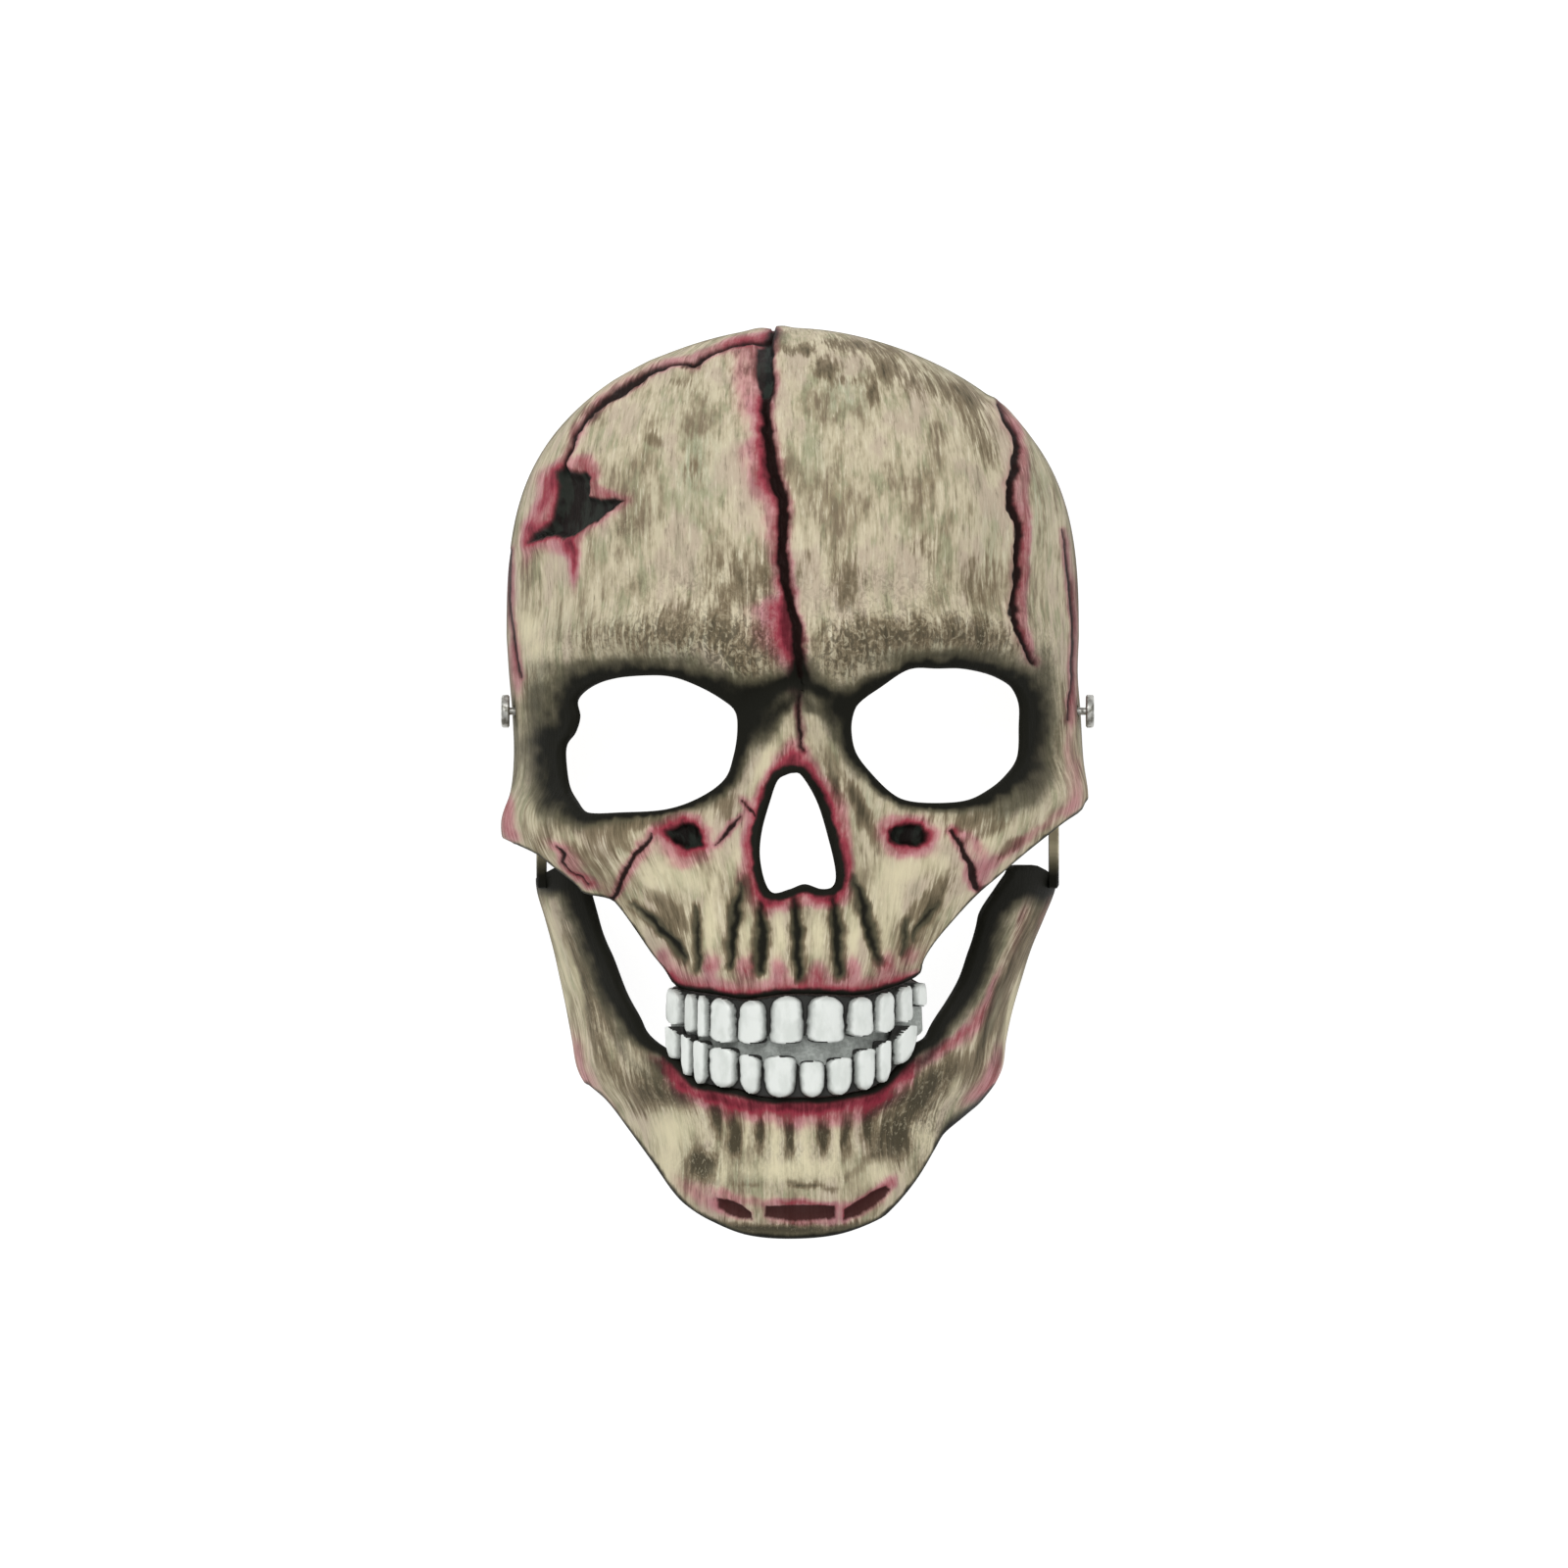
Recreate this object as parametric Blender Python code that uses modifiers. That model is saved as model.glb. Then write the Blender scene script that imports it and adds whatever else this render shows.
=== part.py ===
import math
import bpy
import bmesh
import numpy as np
from mathutils import Vector
from mathutils.geometry import delaunay_2d_cdt

# Driving sizes in metres
FACE_HEIGHT = 0.2796
FACE_WIDTH = 0.1770
FACE_DEPTH = 0.0980
SHELL_WALL = 0.0025
JAW_WALL = 0.0030
TOOTH_WALL = 0.0032
SEAM_GAP = 0.0003
TOOTH_GAP = 0.0010
TOOTH_SEAT = 0.0012
ROOT_SHARE = 0.74
CORNER_SHARE = 0.84
PIVOT_HEIGHT = 0.0215
PIVOT_DEPTH = 0.0180
STEM_RADIUS = 0.00115
STEM_GAP = 0.0003
WALL_HOLE_GAP = 0.0009
HEAD_RADIUS = 0.0051
HEAD_THICKNESS = 0.0025
HEAD_STAND = 0.0027
WASHER_RADIUS = 0.0040
WASHER_THICKNESS = 0.0014
ARM_INSET = 0.0082
ARM_HALF_WIDTH = 0.0090
ARM_ROOT = -0.0330
SCREEN_WALL = 0.0008
FACE_SPACING = 0.0070
JAW_SPACING = 0.0068
TOOTH_SPACING = 0.0032
TOOTH_DOME = 0.0010
SCREEN_SPACING = 0.0065
HEAD_ROUND = 0.0005

# Sizes that follow from them
HALF_HEIGHT = FACE_HEIGHT / 2
HALF_WIDTH = FACE_WIDTH / 2
ARM_FACE = HALF_WIDTH - ARM_INSET
HEAD_FACE = HALF_WIDTH + HEAD_STAND
CROWN_START = 0.32 * HALF_HEIGHT
CROWN_RISE = HALF_HEIGHT - CROWN_START
CROWN_ARC = 1.60 * CROWN_RISE

# Level sections of the face below the temples
# columns: height share, half width share, centre share, depth share, roundness
FACE_SECTIONS = [
    (-0.560, 0.600, 0.000, 0.990, 2.2),
    (-0.440, 0.640, 0.000, 1.010, 2.2),
    (-0.390, 0.690, 0.000, 1.015, 2.2),
    (-0.320, 0.800, 0.002, 1.020, 2.2),
    (-0.250, 0.905, 0.002, 1.020, 2.2),
    (-0.200, 0.962, 0.000, 1.015, 2.2),
    (-0.150, 1.010, -0.008, 1.010, 2.2),
    (-0.095, 1.022, -0.010, 1.000, 2.2),
    (-0.030, 1.005, 0.003, 0.990, 2.2),
    (0.050, 0.993, 0.003, 0.990, 2.2),
    (0.150, 0.991, -0.004, 0.990, 2.2),
    (0.240, 0.992, -0.015, 0.995, 2.2),
    (0.320, 0.998, -0.017, 1.000, 2.2),
]

# Level sections of the lower jaw, same columns
JAW_SECTIONS = [
    (-1.060, 0.590, -0.010, 0.840, 2.2),
    (-1.000, 0.600, -0.012, 0.870, 2.2),
    (-0.930, 0.604, -0.014, 0.955, 2.2),
    (-0.845, 0.608, -0.018, 0.985, 2.2),
    (-0.770, 0.628, -0.022, 0.975, 2.2),
    (-0.705, 0.670, -0.026, 0.965, 2.2),
    (-0.670, 0.712, -0.028, 0.970, 2.2),
    (-0.640, 0.736, -0.028, 0.975, 2.2),
    (-0.570, 0.757, -0.030, 0.960, 2.2),
    (-0.500, 0.780, -0.028, 0.900, 2.2),
    (-0.440, 0.804, -0.024, 0.820, 2.2),
    (-0.370, 0.834, -0.019, 0.740, 2.2),
    (-0.300, 0.872, -0.011, 0.640, 2.35),
    (-0.240, 0.904, -0.006, 0.610, 2.6),
    (-0.180, 0.914, 0.000, 0.620, 2.9),
    (-0.120, 0.914, 0.000, 0.640, 3.0),
]

# Arches that the two tooth rows and the screen are bent to
# columns: name, half width share, depth share, roundness
ARCHES = {
    "upper": (0.640, 1.006, 2.2),
    "lower": (0.740, 0.992, 2.2),
    "screen": (0.640, 0.9560, 2.2),
}

# Lower edge of the upper shell, right cheek to left cheek
# columns: width share, height share
LOWER_EDGE = [
    (1.010, -0.045), (0.990, -0.067), (0.929, -0.092), (0.844, -0.133), (0.769, -0.172),
    (0.698, -0.210), (0.627, -0.249), (0.559, -0.294), (0.481, -0.352), (0.441, -0.393),
    (0.431, -0.418), (0.393, -0.436), (0.325, -0.451), (0.224, -0.466), (0.088, -0.464),
    (-0.047, -0.464), (-0.183, -0.474), (-0.285, -0.466), (-0.386, -0.457), (-0.434, -0.444),
    (-0.468, -0.412), (-0.512, -0.378), (-0.569, -0.324), (-0.624, -0.277), (-0.658, -0.260),
    (-0.742, -0.249), (-0.773, -0.230), (-0.844, -0.195), (-0.912, -0.163), (-0.983, -0.142),
]

# Lower border of the jaw, left corner to right corner
JAW_BOTTOM = [
    (-0.732, -0.672), (-0.668, -0.706), (-0.590, -0.768), (-0.512, -0.833), (-0.441, -0.895),
    (-0.386, -0.929), (-0.305, -0.961), (-0.183, -0.991), (-0.031, -1.000), (0.139, -0.991),
    (0.275, -0.961), (0.339, -0.929), (0.424, -0.865), (0.485, -0.803), (0.515, -0.773),
    (0.586, -0.738), (0.654, -0.706), (0.695, -0.672),
]

# Inner border of the jaw, right branch, tooth line, left branch
JAW_TOP = [
    (0.841, -0.187), (0.753, -0.189), (0.739, -0.206), (0.698, -0.240), (0.651, -0.283),
    (0.637, -0.313), (0.614, -0.367), (0.583, -0.425), (0.536, -0.474), (0.485, -0.524),
    (0.458, -0.556), (0.414, -0.573), (0.366, -0.612), (0.322, -0.642), (0.268, -0.667),
    (0.197, -0.678), (0.095, -0.689), (-0.115, -0.689), (-0.203, -0.674), (-0.302, -0.665),
    (-0.359, -0.655), (-0.403, -0.622), (-0.454, -0.588), (-0.505, -0.567), (-0.542, -0.543),
    (-0.566, -0.511), (-0.620, -0.446), (-0.661, -0.382), (-0.702, -0.318), (-0.732, -0.253),
    (-0.753, -0.200), (-0.841, -0.187),
]

# Holes through the upper shell
LEFT_EYE = [
    (-0.780, 0.176), (-0.725, 0.207), (-0.641, 0.224), (-0.519, 0.230), (-0.429, 0.226),
    (-0.339, 0.205), (-0.260, 0.176), (-0.217, 0.149), (-0.210, 0.107), (-0.224, 0.054),
    (-0.254, 0.004), (-0.339, -0.034), (-0.458, -0.060), (-0.610, -0.067), (-0.732, -0.066),
    (-0.780, -0.039), (-0.810, -0.009), (-0.823, 0.045), (-0.817, 0.086), (-0.792, 0.110),
    (-0.774, 0.144),
]
RIGHT_EYE = [
    (0.217, 0.172), (0.288, 0.203), (0.386, 0.242), (0.488, 0.245), (0.580, 0.245), (0.671, 0.234),
    (0.736, 0.217), (0.766, 0.200), (0.785, 0.168), (0.785, 0.122), (0.780, 0.054), (0.731, 0.011),
    (0.671, -0.019), (0.597, -0.041), (0.488, -0.046), (0.386, -0.043), (0.325, -0.026),
    (0.258, 0.015), (0.203, 0.061), (0.186, 0.107), (0.192, 0.146),
]
NOSE_HOLE = [
    (-0.012, 0.016), (0.015, 0.010), (0.067, -0.044), (0.108, -0.126), (0.131, -0.197),
    (0.122, -0.227), (0.080, -0.234), (0.024, -0.223), (-0.027, -0.234), (-0.085, -0.242),
    (-0.116, -0.216), (-0.133, -0.162), (-0.127, -0.107), (-0.098, -0.044), (-0.070, 0.000),
    (-0.040, 0.013),
]

# Teeth of the two rows, left to right
# columns: left side share, right side share, tip height share
UPPER_TEETH = [
    (-0.447, -0.397, -0.530), (-0.383, -0.346, -0.547), (-0.339, -0.308, -0.558),
    (-0.298, -0.217, -0.569), (-0.203, -0.112, -0.571), (-0.095, 0.017, -0.571),
    (0.034, 0.159, -0.569), (0.173, 0.258, -0.556), (0.268, 0.329, -0.545), (0.342, 0.390, -0.521),
    (0.400, 0.437, -0.491),
]
LOWER_TEETH = [
    (-0.451, -0.407, -0.539), (-0.397, -0.363, -0.556), (-0.356, -0.312, -0.567),
    (-0.302, -0.210, -0.579), (-0.200, -0.129, -0.594), (-0.115, -0.007, -0.597),
    (0.007, 0.092, -0.607), (0.102, 0.186, -0.601), (0.197, 0.264, -0.582), (0.271, 0.315, -0.567),
    (0.336, 0.410, -0.536),
]

# Raised and sunk places of the face
# columns: place, width share, height share, half widths share, half heights share, rise as a share of the depth
FACE_FORMS = [
    ("left brow", -0.48, 0.315, 0.31, 0.065, 0.046),
    ("right brow", 0.48, 0.322, 0.31, 0.065, 0.046),
    ("left inner brow", -0.20, 0.265, 0.10, 0.060, 0.031),
    ("right inner brow", 0.21, 0.275, 0.10, 0.060, 0.031),
    ("brow middle", 0.00, 0.300, 0.17, 0.070, 0.026),
    ("nose root", 0.00, 0.205, 0.12, 0.045, -0.036),
    ("nose bridge top", 0.00, 0.130, 0.095, 0.055, 0.051),
    ("nose bridge", 0.00, 0.060, 0.105, 0.055, 0.082),
    ("nose bridge end", 0.00, 0.005, 0.120, 0.050, 0.082),
    ("left nose wall", -0.140, -0.110, 0.060, 0.110, 0.046),
    ("right nose wall", 0.150, -0.115, 0.060, 0.110, 0.046),
    ("left nose foot", -0.150, -0.215, 0.070, 0.055, 0.031),
    ("right nose foot", 0.160, -0.215, 0.070, 0.055, 0.031),
    ("nose spine", 0.00, -0.260, 0.09, 0.035, 0.041),
    ("left cheekbone", -0.660, -0.105, 0.18, 0.080, 0.051),
    ("right cheekbone", 0.660, -0.080, 0.18, 0.080, 0.051),
    ("left cheek arch", -0.880, -0.070, 0.16, 0.055, 0.026),
    ("right cheek arch", 0.880, -0.025, 0.16, 0.055, 0.026),
    ("left hollow", -0.340, -0.210, 0.11, 0.090, -0.036),
    ("right hollow", 0.350, -0.200, 0.11, 0.090, -0.036),
    ("left nerve pit", -0.395, -0.125, 0.070, 0.036, -0.026),
    ("right nerve pit", 0.385, -0.120, 0.075, 0.032, -0.026),
    ("left temple", -0.870, 0.400, 0.09, 0.130, -0.026),
    ("right temple", 0.870, 0.400, 0.09, 0.130, -0.026),
    ("left forehead", -0.43, 0.570, 0.32, 0.170, 0.026),
    ("right forehead", 0.43, 0.570, 0.32, 0.170, 0.026),
    ("wound", -0.735, 0.600, 0.095, 0.070, -0.031),
    ("tooth root band", 0.00, -0.370, 0.38, 0.060, 0.015),
]

# Raised and sunk places of the jaw, same columns
JAW_FORMS = [
    ("chin", 0.00, -0.850, 0.22, 0.080, 0.031),
    ("left chin side", -0.300, -0.900, 0.12, 0.060, 0.020),
    ("right chin side", 0.300, -0.890, 0.12, 0.060, 0.020),
    ("chin hollow", 0.00, -0.735, 0.30, 0.040, -0.015),
    ("tooth line", 0.00, -0.675, 0.40, 0.020, 0.010),
    ("left corner", -0.690, -0.600, 0.07, 0.080, 0.015),
    ("right corner", 0.650, -0.600, 0.07, 0.080, 0.015),
]

SOCKET_DEPTH = 0.0085
SOCKET_REACH = 0.0100
SOCKET_FADE = 0.0300
FORM_STEP = 0.001


def sections(rows, height):
    """Half width, centre, depth and roundness of a table at some heights, run as smooth curves."""
    at = np.array([row[0] for row in rows]) * HALF_HEIGHT
    where = np.clip(height, at[0], at[-1])
    low = np.clip(np.searchsorted(at, where) - 1, 0, len(at) - 2)
    step = at[low + 1] - at[low]
    t = (where - at[low]) / step
    out = []
    for column, unit in ((1, HALF_WIDTH), (2, HALF_WIDTH), (3, FACE_DEPTH), (4, 1.0)):
        value = np.array([row[column] for row in rows]) * unit
        slope = np.gradient(value, at)
        ends = value[low] * (1 + 2 * t) * (1 - t) ** 2 + value[low + 1] * t * t * (3 - 2 * t)
        turns = slope[low] * t * (1 - t) ** 2 - slope[low + 1] * t * t * (1 - t)
        out.append(ends + turns * step)
    return out


def face_section(height):
    """Section of the upper shell, where the crown closes along a rounded curve."""
    wide, centre, depth, round_ = sections(FACE_SECTIONS, height)
    t = np.clip((height - CROWN_START) / CROWN_RISE, 0, 0.99999)
    curve = 2.7 - 0.7 * t * t
    wide = wide * (1 - t ** curve) ** (1 / curve)
    depth = depth * (1 - t ** 2.5) ** 0.4
    centre = centre - 0.010 * HALF_WIDTH * t * t
    return wide, centre, depth, round_


def jaw_section(height):
    """Section of the lower jaw."""
    return sections(JAW_SECTIONS, height)


def arch_section(name):
    """Section function of one tooth arch, the same at every height."""
    wide, depth, round_ = ARCHES[name]

    def section(height):
        one = np.ones_like(height)
        return wide * HALF_WIDTH * one, 0 * one, depth * FACE_DEPTH * one, round_ * one

    return section


def arc_height(height):
    """Way along the middle of the face for some heights."""
    t = np.clip((height - CROWN_START) / CROWN_RISE, 0, 1)
    over = CROWN_START + CROWN_ARC * np.arcsin(t) * 2 / math.pi
    return np.where(height > CROWN_START, over, height)


def height_of_arc(arc):
    """Height at some ways along the middle of the face."""
    t = np.clip((arc - CROWN_START) / CROWN_ARC, 0, 1)
    over = CROWN_START + CROWN_RISE * np.sin(t * math.pi / 2)
    return np.where(arc > CROWN_START, over, arc)


def girth(wide, depth):
    """Quarter of the way round a section."""
    return 1.03 * math.pi / 2 * np.sqrt((wide * wide + depth * depth) / 2)


def flat_from_turn(section, turn, height):
    """Flat pattern place of a turn angle and height."""
    wide, centre, depth, round_ = section(height)
    return np.stack([girth(wide, depth) * turn * 2 / math.pi, arc_height(height)], axis=1)


def flat_from_front(section, points):
    """Flat pattern places of points seen from the front."""
    points = np.asarray(points, float)
    wide, centre, depth, round_ = section(points[:, 1])
    turn = np.arcsin(np.clip((points[:, 0] - centre) / wide, -1, 1))
    return flat_from_turn(section, turn, points[:, 1])


def flat_from_side(section, side, points):
    """Flat pattern places of points seen from one side, as height and depth."""
    points = np.asarray(points, float)
    wide, centre, depth, round_ = section(points[:, 0])
    share = 1 - np.clip(points[:, 1] / depth, 0, 1) ** round_
    return flat_from_turn(section, side * np.arcsin(share ** (1 / round_)), points[:, 0])


def base_form(section, flat):
    """Points and outward directions of the plain rounded form at flat pattern places."""
    height = height_of_arc(flat[:, 1])
    wide, centre, depth, round_ = section(height)
    turn = np.clip(flat[:, 0] * math.pi / 2 / girth(wide, depth), -math.pi / 2, math.pi / 2)
    across = np.sin(turn)
    share = np.clip(1 - np.abs(across) ** round_, 0, 1)
    share = np.where(share < 1e-9, 0, share)
    front = share ** (1 / round_)
    step = FORM_STEP * HALF_HEIGHT
    up = section(height + step)
    down = section(height - step)
    widen = (up[0] - down[0]) / (2 * step)
    shift = (up[1] - down[1]) / (2 * step)
    deepen = (up[2] - down[2]) / (2 * step)
    part_x = np.sign(across) * np.abs(across) ** (round_ - 1) / wide
    part_z = front ** (round_ - 1) / depth
    part_y = -(np.abs(across) ** round_ * widen / wide + share * deepen / depth) - part_x * shift
    out = np.stack([part_x, part_y, part_z], axis=1)
    out /= np.linalg.norm(out, axis=1, keepdims=True)
    place = np.stack([centre + wide * across, height, depth * front], axis=1)
    return place, out


def distance_to(ring, points):
    """Shortest distance of points to a closed line, seen from the front."""
    best = np.full(len(points), 1.0)
    for a, b in zip(ring, np.roll(ring, -1, axis=0)):
        way = b - a
        t = np.clip((points - a) @ way / (way @ way), 0, 1)
        best = np.minimum(best, np.linalg.norm(points - a - t[:, None] * way, axis=1))
    return best


def inside(ring, points):
    """True for the points inside a closed line."""
    result = np.zeros(len(points), bool)
    for a, b in zip(ring, np.roll(ring, -1, axis=0)):
        if a[1] == b[1]:
            continue
        spans = (a[1] > points[:, 1]) != (b[1] > points[:, 1])
        cross = a[0] + (points[:, 1] - a[1]) / (b[1] - a[1]) * (b[0] - a[0])
        result ^= spans & (points[:, 0] < cross)
    return result


def rise(forms, place):
    """Sum of the soft rises and hollows of a form table."""
    total = np.zeros(len(place))
    for name, x, y, reach_x, reach_y, high in forms:
        across = (place[:, 0] / HALF_WIDTH - x) / reach_x
        along = (place[:, 1] / HALF_HEIGHT - y) / reach_y
        total += FACE_DEPTH * high * np.exp(-(across ** 2 + along ** 2))
    return total * np.clip(place[:, 2] / (0.25 * FACE_DEPTH), 0, 1)


def smooth_line(points, spacing, closed):
    """Points at even steps along a rounded curve through the given points."""
    points = np.asarray(points, float)
    if closed:
        points = np.vstack([points[-1:], points, points[:2]])
    else:
        points = np.vstack([2 * points[0] - points[1], points, 2 * points[-1] - points[-2]])
    t = np.linspace(0, 1, 12, endpoint=False)[:, None]
    runs = []
    for a, b, c, d in zip(points, points[1:], points[2:], points[3:]):
        curve = 2 * b + (c - a) * t + (2 * a - 5 * b + 4 * c - d) * t ** 2
        runs.append((curve + (3 * b - a - 3 * c + d) * t ** 3) / 2)
    dense = np.vstack(runs + [points[-2:-1]])
    way = np.concatenate([[0], np.cumsum(np.linalg.norm(np.diff(dense, axis=0), axis=1))])
    count = max(int(round(way[-1] / spacing)), 6)
    at = np.linspace(0, way[-1], count + 1)
    line = np.stack([np.interp(at, way, dense[:, 0]), np.interp(at, way, dense[:, 1])], axis=1)
    return line[:-1] if closed else line


def straight_line(points, spacing):
    """Points along straight runs, the given corners kept."""
    runs = []
    points = np.asarray(points, float)
    for a, b in zip(points, points[1:]):
        count = max(int(round(np.linalg.norm(b - a) / spacing)), 1)
        runs.append(a + (b - a) * np.linspace(0, 1, count, endpoint=False)[:, None])
    return np.vstack(runs + [points[-1:]])


def scaled(rows):
    """Table shares turned into metres."""
    return np.array([(row[0] * HALF_WIDTH, row[1] * HALF_HEIGHT) for row in rows])


def fill_pattern(rim, holes, spacing, extra):
    """Even triangles over a flat pattern with holes."""
    lines = [rim] + holes
    low, high = rim.min(axis=0), rim.max(axis=0)
    rows = np.arange(low[1], high[1], spacing * math.sqrt(3) / 2)
    grid = []
    for number, row in enumerate(rows):
        start = low[0] + (number % 2) * spacing / 2
        columns = np.arange(start, high[0], spacing)
        grid.append(np.stack([columns, np.full(len(columns), row)], axis=1))
    grid = np.vstack(grid)
    keep = inside(rim, grid)
    for line in lines:
        keep &= distance_to(line, grid) > 0.6 * spacing
    for hole in holes:
        keep &= ~inside(hole, grid)
    for ring in extra:
        keep &= (distance_to(ring, grid) > 0.6 * spacing) & ~inside(ring, grid)
    points = np.vstack(lines + extra + [grid[keep]])
    edges, start = [], 0
    for line in lines:
        count = len(line)
        edges += [(start + i, start + (i + 1) % count) for i in range(count)]
        start += count
    corners = [Vector((p[0], p[1])) for p in points]
    flat, edge_list, faces = delaunay_2d_cdt(corners, edges, [], 0, 1e-8)[:3]
    flat = np.array([(p.x, p.y) for p in flat])
    faces = np.array([face for face in faces if len(face) == 3])
    middle = flat[faces].mean(axis=1)
    keep = inside(rim, middle)
    for hole in holes:
        keep &= ~inside(hole, middle)
    return flat, faces[keep]


def wall_piece(name, pattern, bend, parts):
    """Closed wall: the filled pattern bent to a front face and a back face, joined at every edge."""
    flat, faces = pattern
    front, back = bend(flat)
    count = len(flat)
    a, b, c = flat[faces[:, 0]], flat[faces[:, 1]], flat[faces[:, 2]]
    turn = (b - a)[:, 0] * (c - a)[:, 1] - (b - a)[:, 1] * (c - a)[:, 0]
    faces = np.where((turn > 0)[:, None], faces, faces[:, ::-1])
    sides = np.vstack([faces[:, [0, 1]], faces[:, [1, 2]], faces[:, [2, 0]]])
    known = {(int(i), int(j)) for i, j in sides}
    rims = [(i, j) for i, j in known if (j, i) not in known]
    rims.sort()
    polygons = [tuple(map(int, face)) for face in faces]
    polygons += [tuple(int(i) + count for i in face[::-1]) for face in faces]
    polygons += [(j, i, i + count, j + count) for i, j in rims]
    used = sorted({i for polygon in polygons for i in polygon})
    fresh = {old: new for new, old in enumerate(used)}
    corners = np.vstack([front, back])[used]
    mesh = bpy.data.meshes.new(name)
    polygons = [tuple(fresh[i] for i in polygon) for polygon in polygons]
    mesh.from_pydata([tuple(map(float, corner)) for corner in corners], [], polygons)
    return finish_mesh(name, mesh, parts)


def finish_mesh(name, mesh, parts):
    """Object with outward faces, smooth where it is round."""
    shape = bmesh.new()
    shape.from_mesh(mesh)
    bmesh.ops.recalc_face_normals(shape, faces=shape.faces)
    for face in shape.faces:
        face.smooth = True
    for edge in shape.edges:
        edge.smooth = len(edge.link_faces) == 2 and edge.calc_face_angle() < math.radians(40)
    shape.to_mesh(mesh)
    shape.free()
    piece = bpy.data.objects.new(name, mesh)
    parts.objects.link(piece)
    return piece


def finish_material(piece, name, colour, roughness, metallic):
    """Plain surface finish with its own name."""
    material = bpy.data.materials.new(name)
    material.use_nodes = True
    shader = material.node_tree.nodes["Principled BSDF"]
    shader.inputs["Base Color"].default_value = (*colour, 1)
    shader.inputs["Roughness"].default_value = roughness
    shader.inputs["Metallic"].default_value = metallic
    piece.data.materials.append(material)


for old in list(bpy.data.objects):
    bpy.data.objects.remove(old, do_unlink=True)

scene = bpy.context.scene
mask = bpy.data.collections.new("skull_mask")
scene.collection.children.link(mask)

# Upper shell: one moulded wall from the crown to the upper gum line
eye_lines = [scaled(LEFT_EYE), scaled(RIGHT_EYE)]
lower_edge = smooth_line(scaled(LOWER_EDGE), FACE_SPACING, False)
side_heights = (-0.124 * HALF_HEIGHT, -0.032 * HALF_HEIGHT)
crown_top = arc_height(np.array([HALF_HEIGHT]))[0]
climb = np.linspace(0, 1, 34)[1:]
left_climb = side_heights[0] + (crown_top - side_heights[0]) * climb
right_climb = (side_heights[1] + (crown_top - side_heights[1]) * climb)[:-1][::-1]
left_rim = flat_from_turn(face_section, np.full(33, -math.pi / 2), height_of_arc(left_climb))
right_rim = flat_from_turn(face_section, np.full(32, math.pi / 2), height_of_arc(right_climb))
face_rim = np.vstack([flat_from_front(face_section, lower_edge), left_rim, right_rim])


def bend_face(flat):
    """Front and back of the upper shell, with the eye sockets sunk straight back."""
    place, out = base_form(face_section, flat)
    socket = np.minimum(*[distance_to(line, place[:, :2]) for line in eye_lines])
    lift = rise(FACE_FORMS, place)
    place[:, 2] -= SOCKET_DEPTH * np.exp(-(socket / SOCKET_REACH) ** 2) * np.clip(place[:, 2] / SOCKET_FADE, 0, 1)
    return place + out * lift[:, None], place + out * (lift - SHELL_WALL)[:, None]


def aimed(line):
    """Flat pattern places at which the sculpted wall passes through a line seen from the front."""
    aim = line.copy()
    for _ in range(5):
        aim += line - bend_face(flat_from_front(face_section, aim))[0][:, :2]
    return flat_from_front(face_section, aim)


hole_lines = [smooth_line(scaled(rows), 0.8 * FACE_SPACING, True) for rows in (LEFT_EYE, RIGHT_EYE)]
hole_lines.append(smooth_line(scaled(NOSE_HOLE), 0.6 * FACE_SPACING, True))
face_holes = [aimed(line) for line in hole_lines]
face_rings = []
round_turn = np.linspace(0, 2 * math.pi, 12, endpoint=False)
for side in (-1, 1):
    for radius, group in ((STEM_RADIUS + WALL_HOLE_GAP, face_holes), (HEAD_RADIUS, face_rings)):
        high = PIVOT_HEIGHT + radius * np.sin(round_turn)
        deep = PIVOT_DEPTH + radius * np.cos(round_turn)
        group.append(flat_from_side(face_section, side, np.stack([high, deep], axis=1)))

face_pattern = fill_pattern(face_rim, face_holes, FACE_SPACING, face_rings)
skull_shell = wall_piece("skull_shell", face_pattern, bend_face, mask)
finish_material(skull_shell, "painted_bone", (0.50, 0.43, 0.32), 0.62, 0.0)

# Lower jaw: a band round the chin with an arm up to each pivot
jaw_top = smooth_line(scaled(JAW_TOP), 0.8 * JAW_SPACING, False)
jaw_bottom = smooth_line(scaled(JAW_BOTTOM), JAW_SPACING, False)
rear_heights = np.linspace(-0.640, -0.215, 10) * HALF_HEIGHT
right_rear = flat_from_turn(jaw_section, np.full(10, math.pi / 2), rear_heights)
left_rear = flat_from_turn(jaw_section, np.full(10, -math.pi / 2), rear_heights[::-1])
jaw_lines = [flat_from_front(jaw_section, jaw_top), left_rear]
jaw_lines += [flat_from_front(jaw_section, jaw_bottom), right_rear]
jaw_rim = np.vstack(jaw_lines)


def bend_jaw(flat):
    """Front and back of the jaw band."""
    place, out = base_form(jaw_section, flat)
    lift = rise(JAW_FORMS, place)
    return place + out * lift[:, None], place + out * (lift - JAW_WALL)[:, None]


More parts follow.
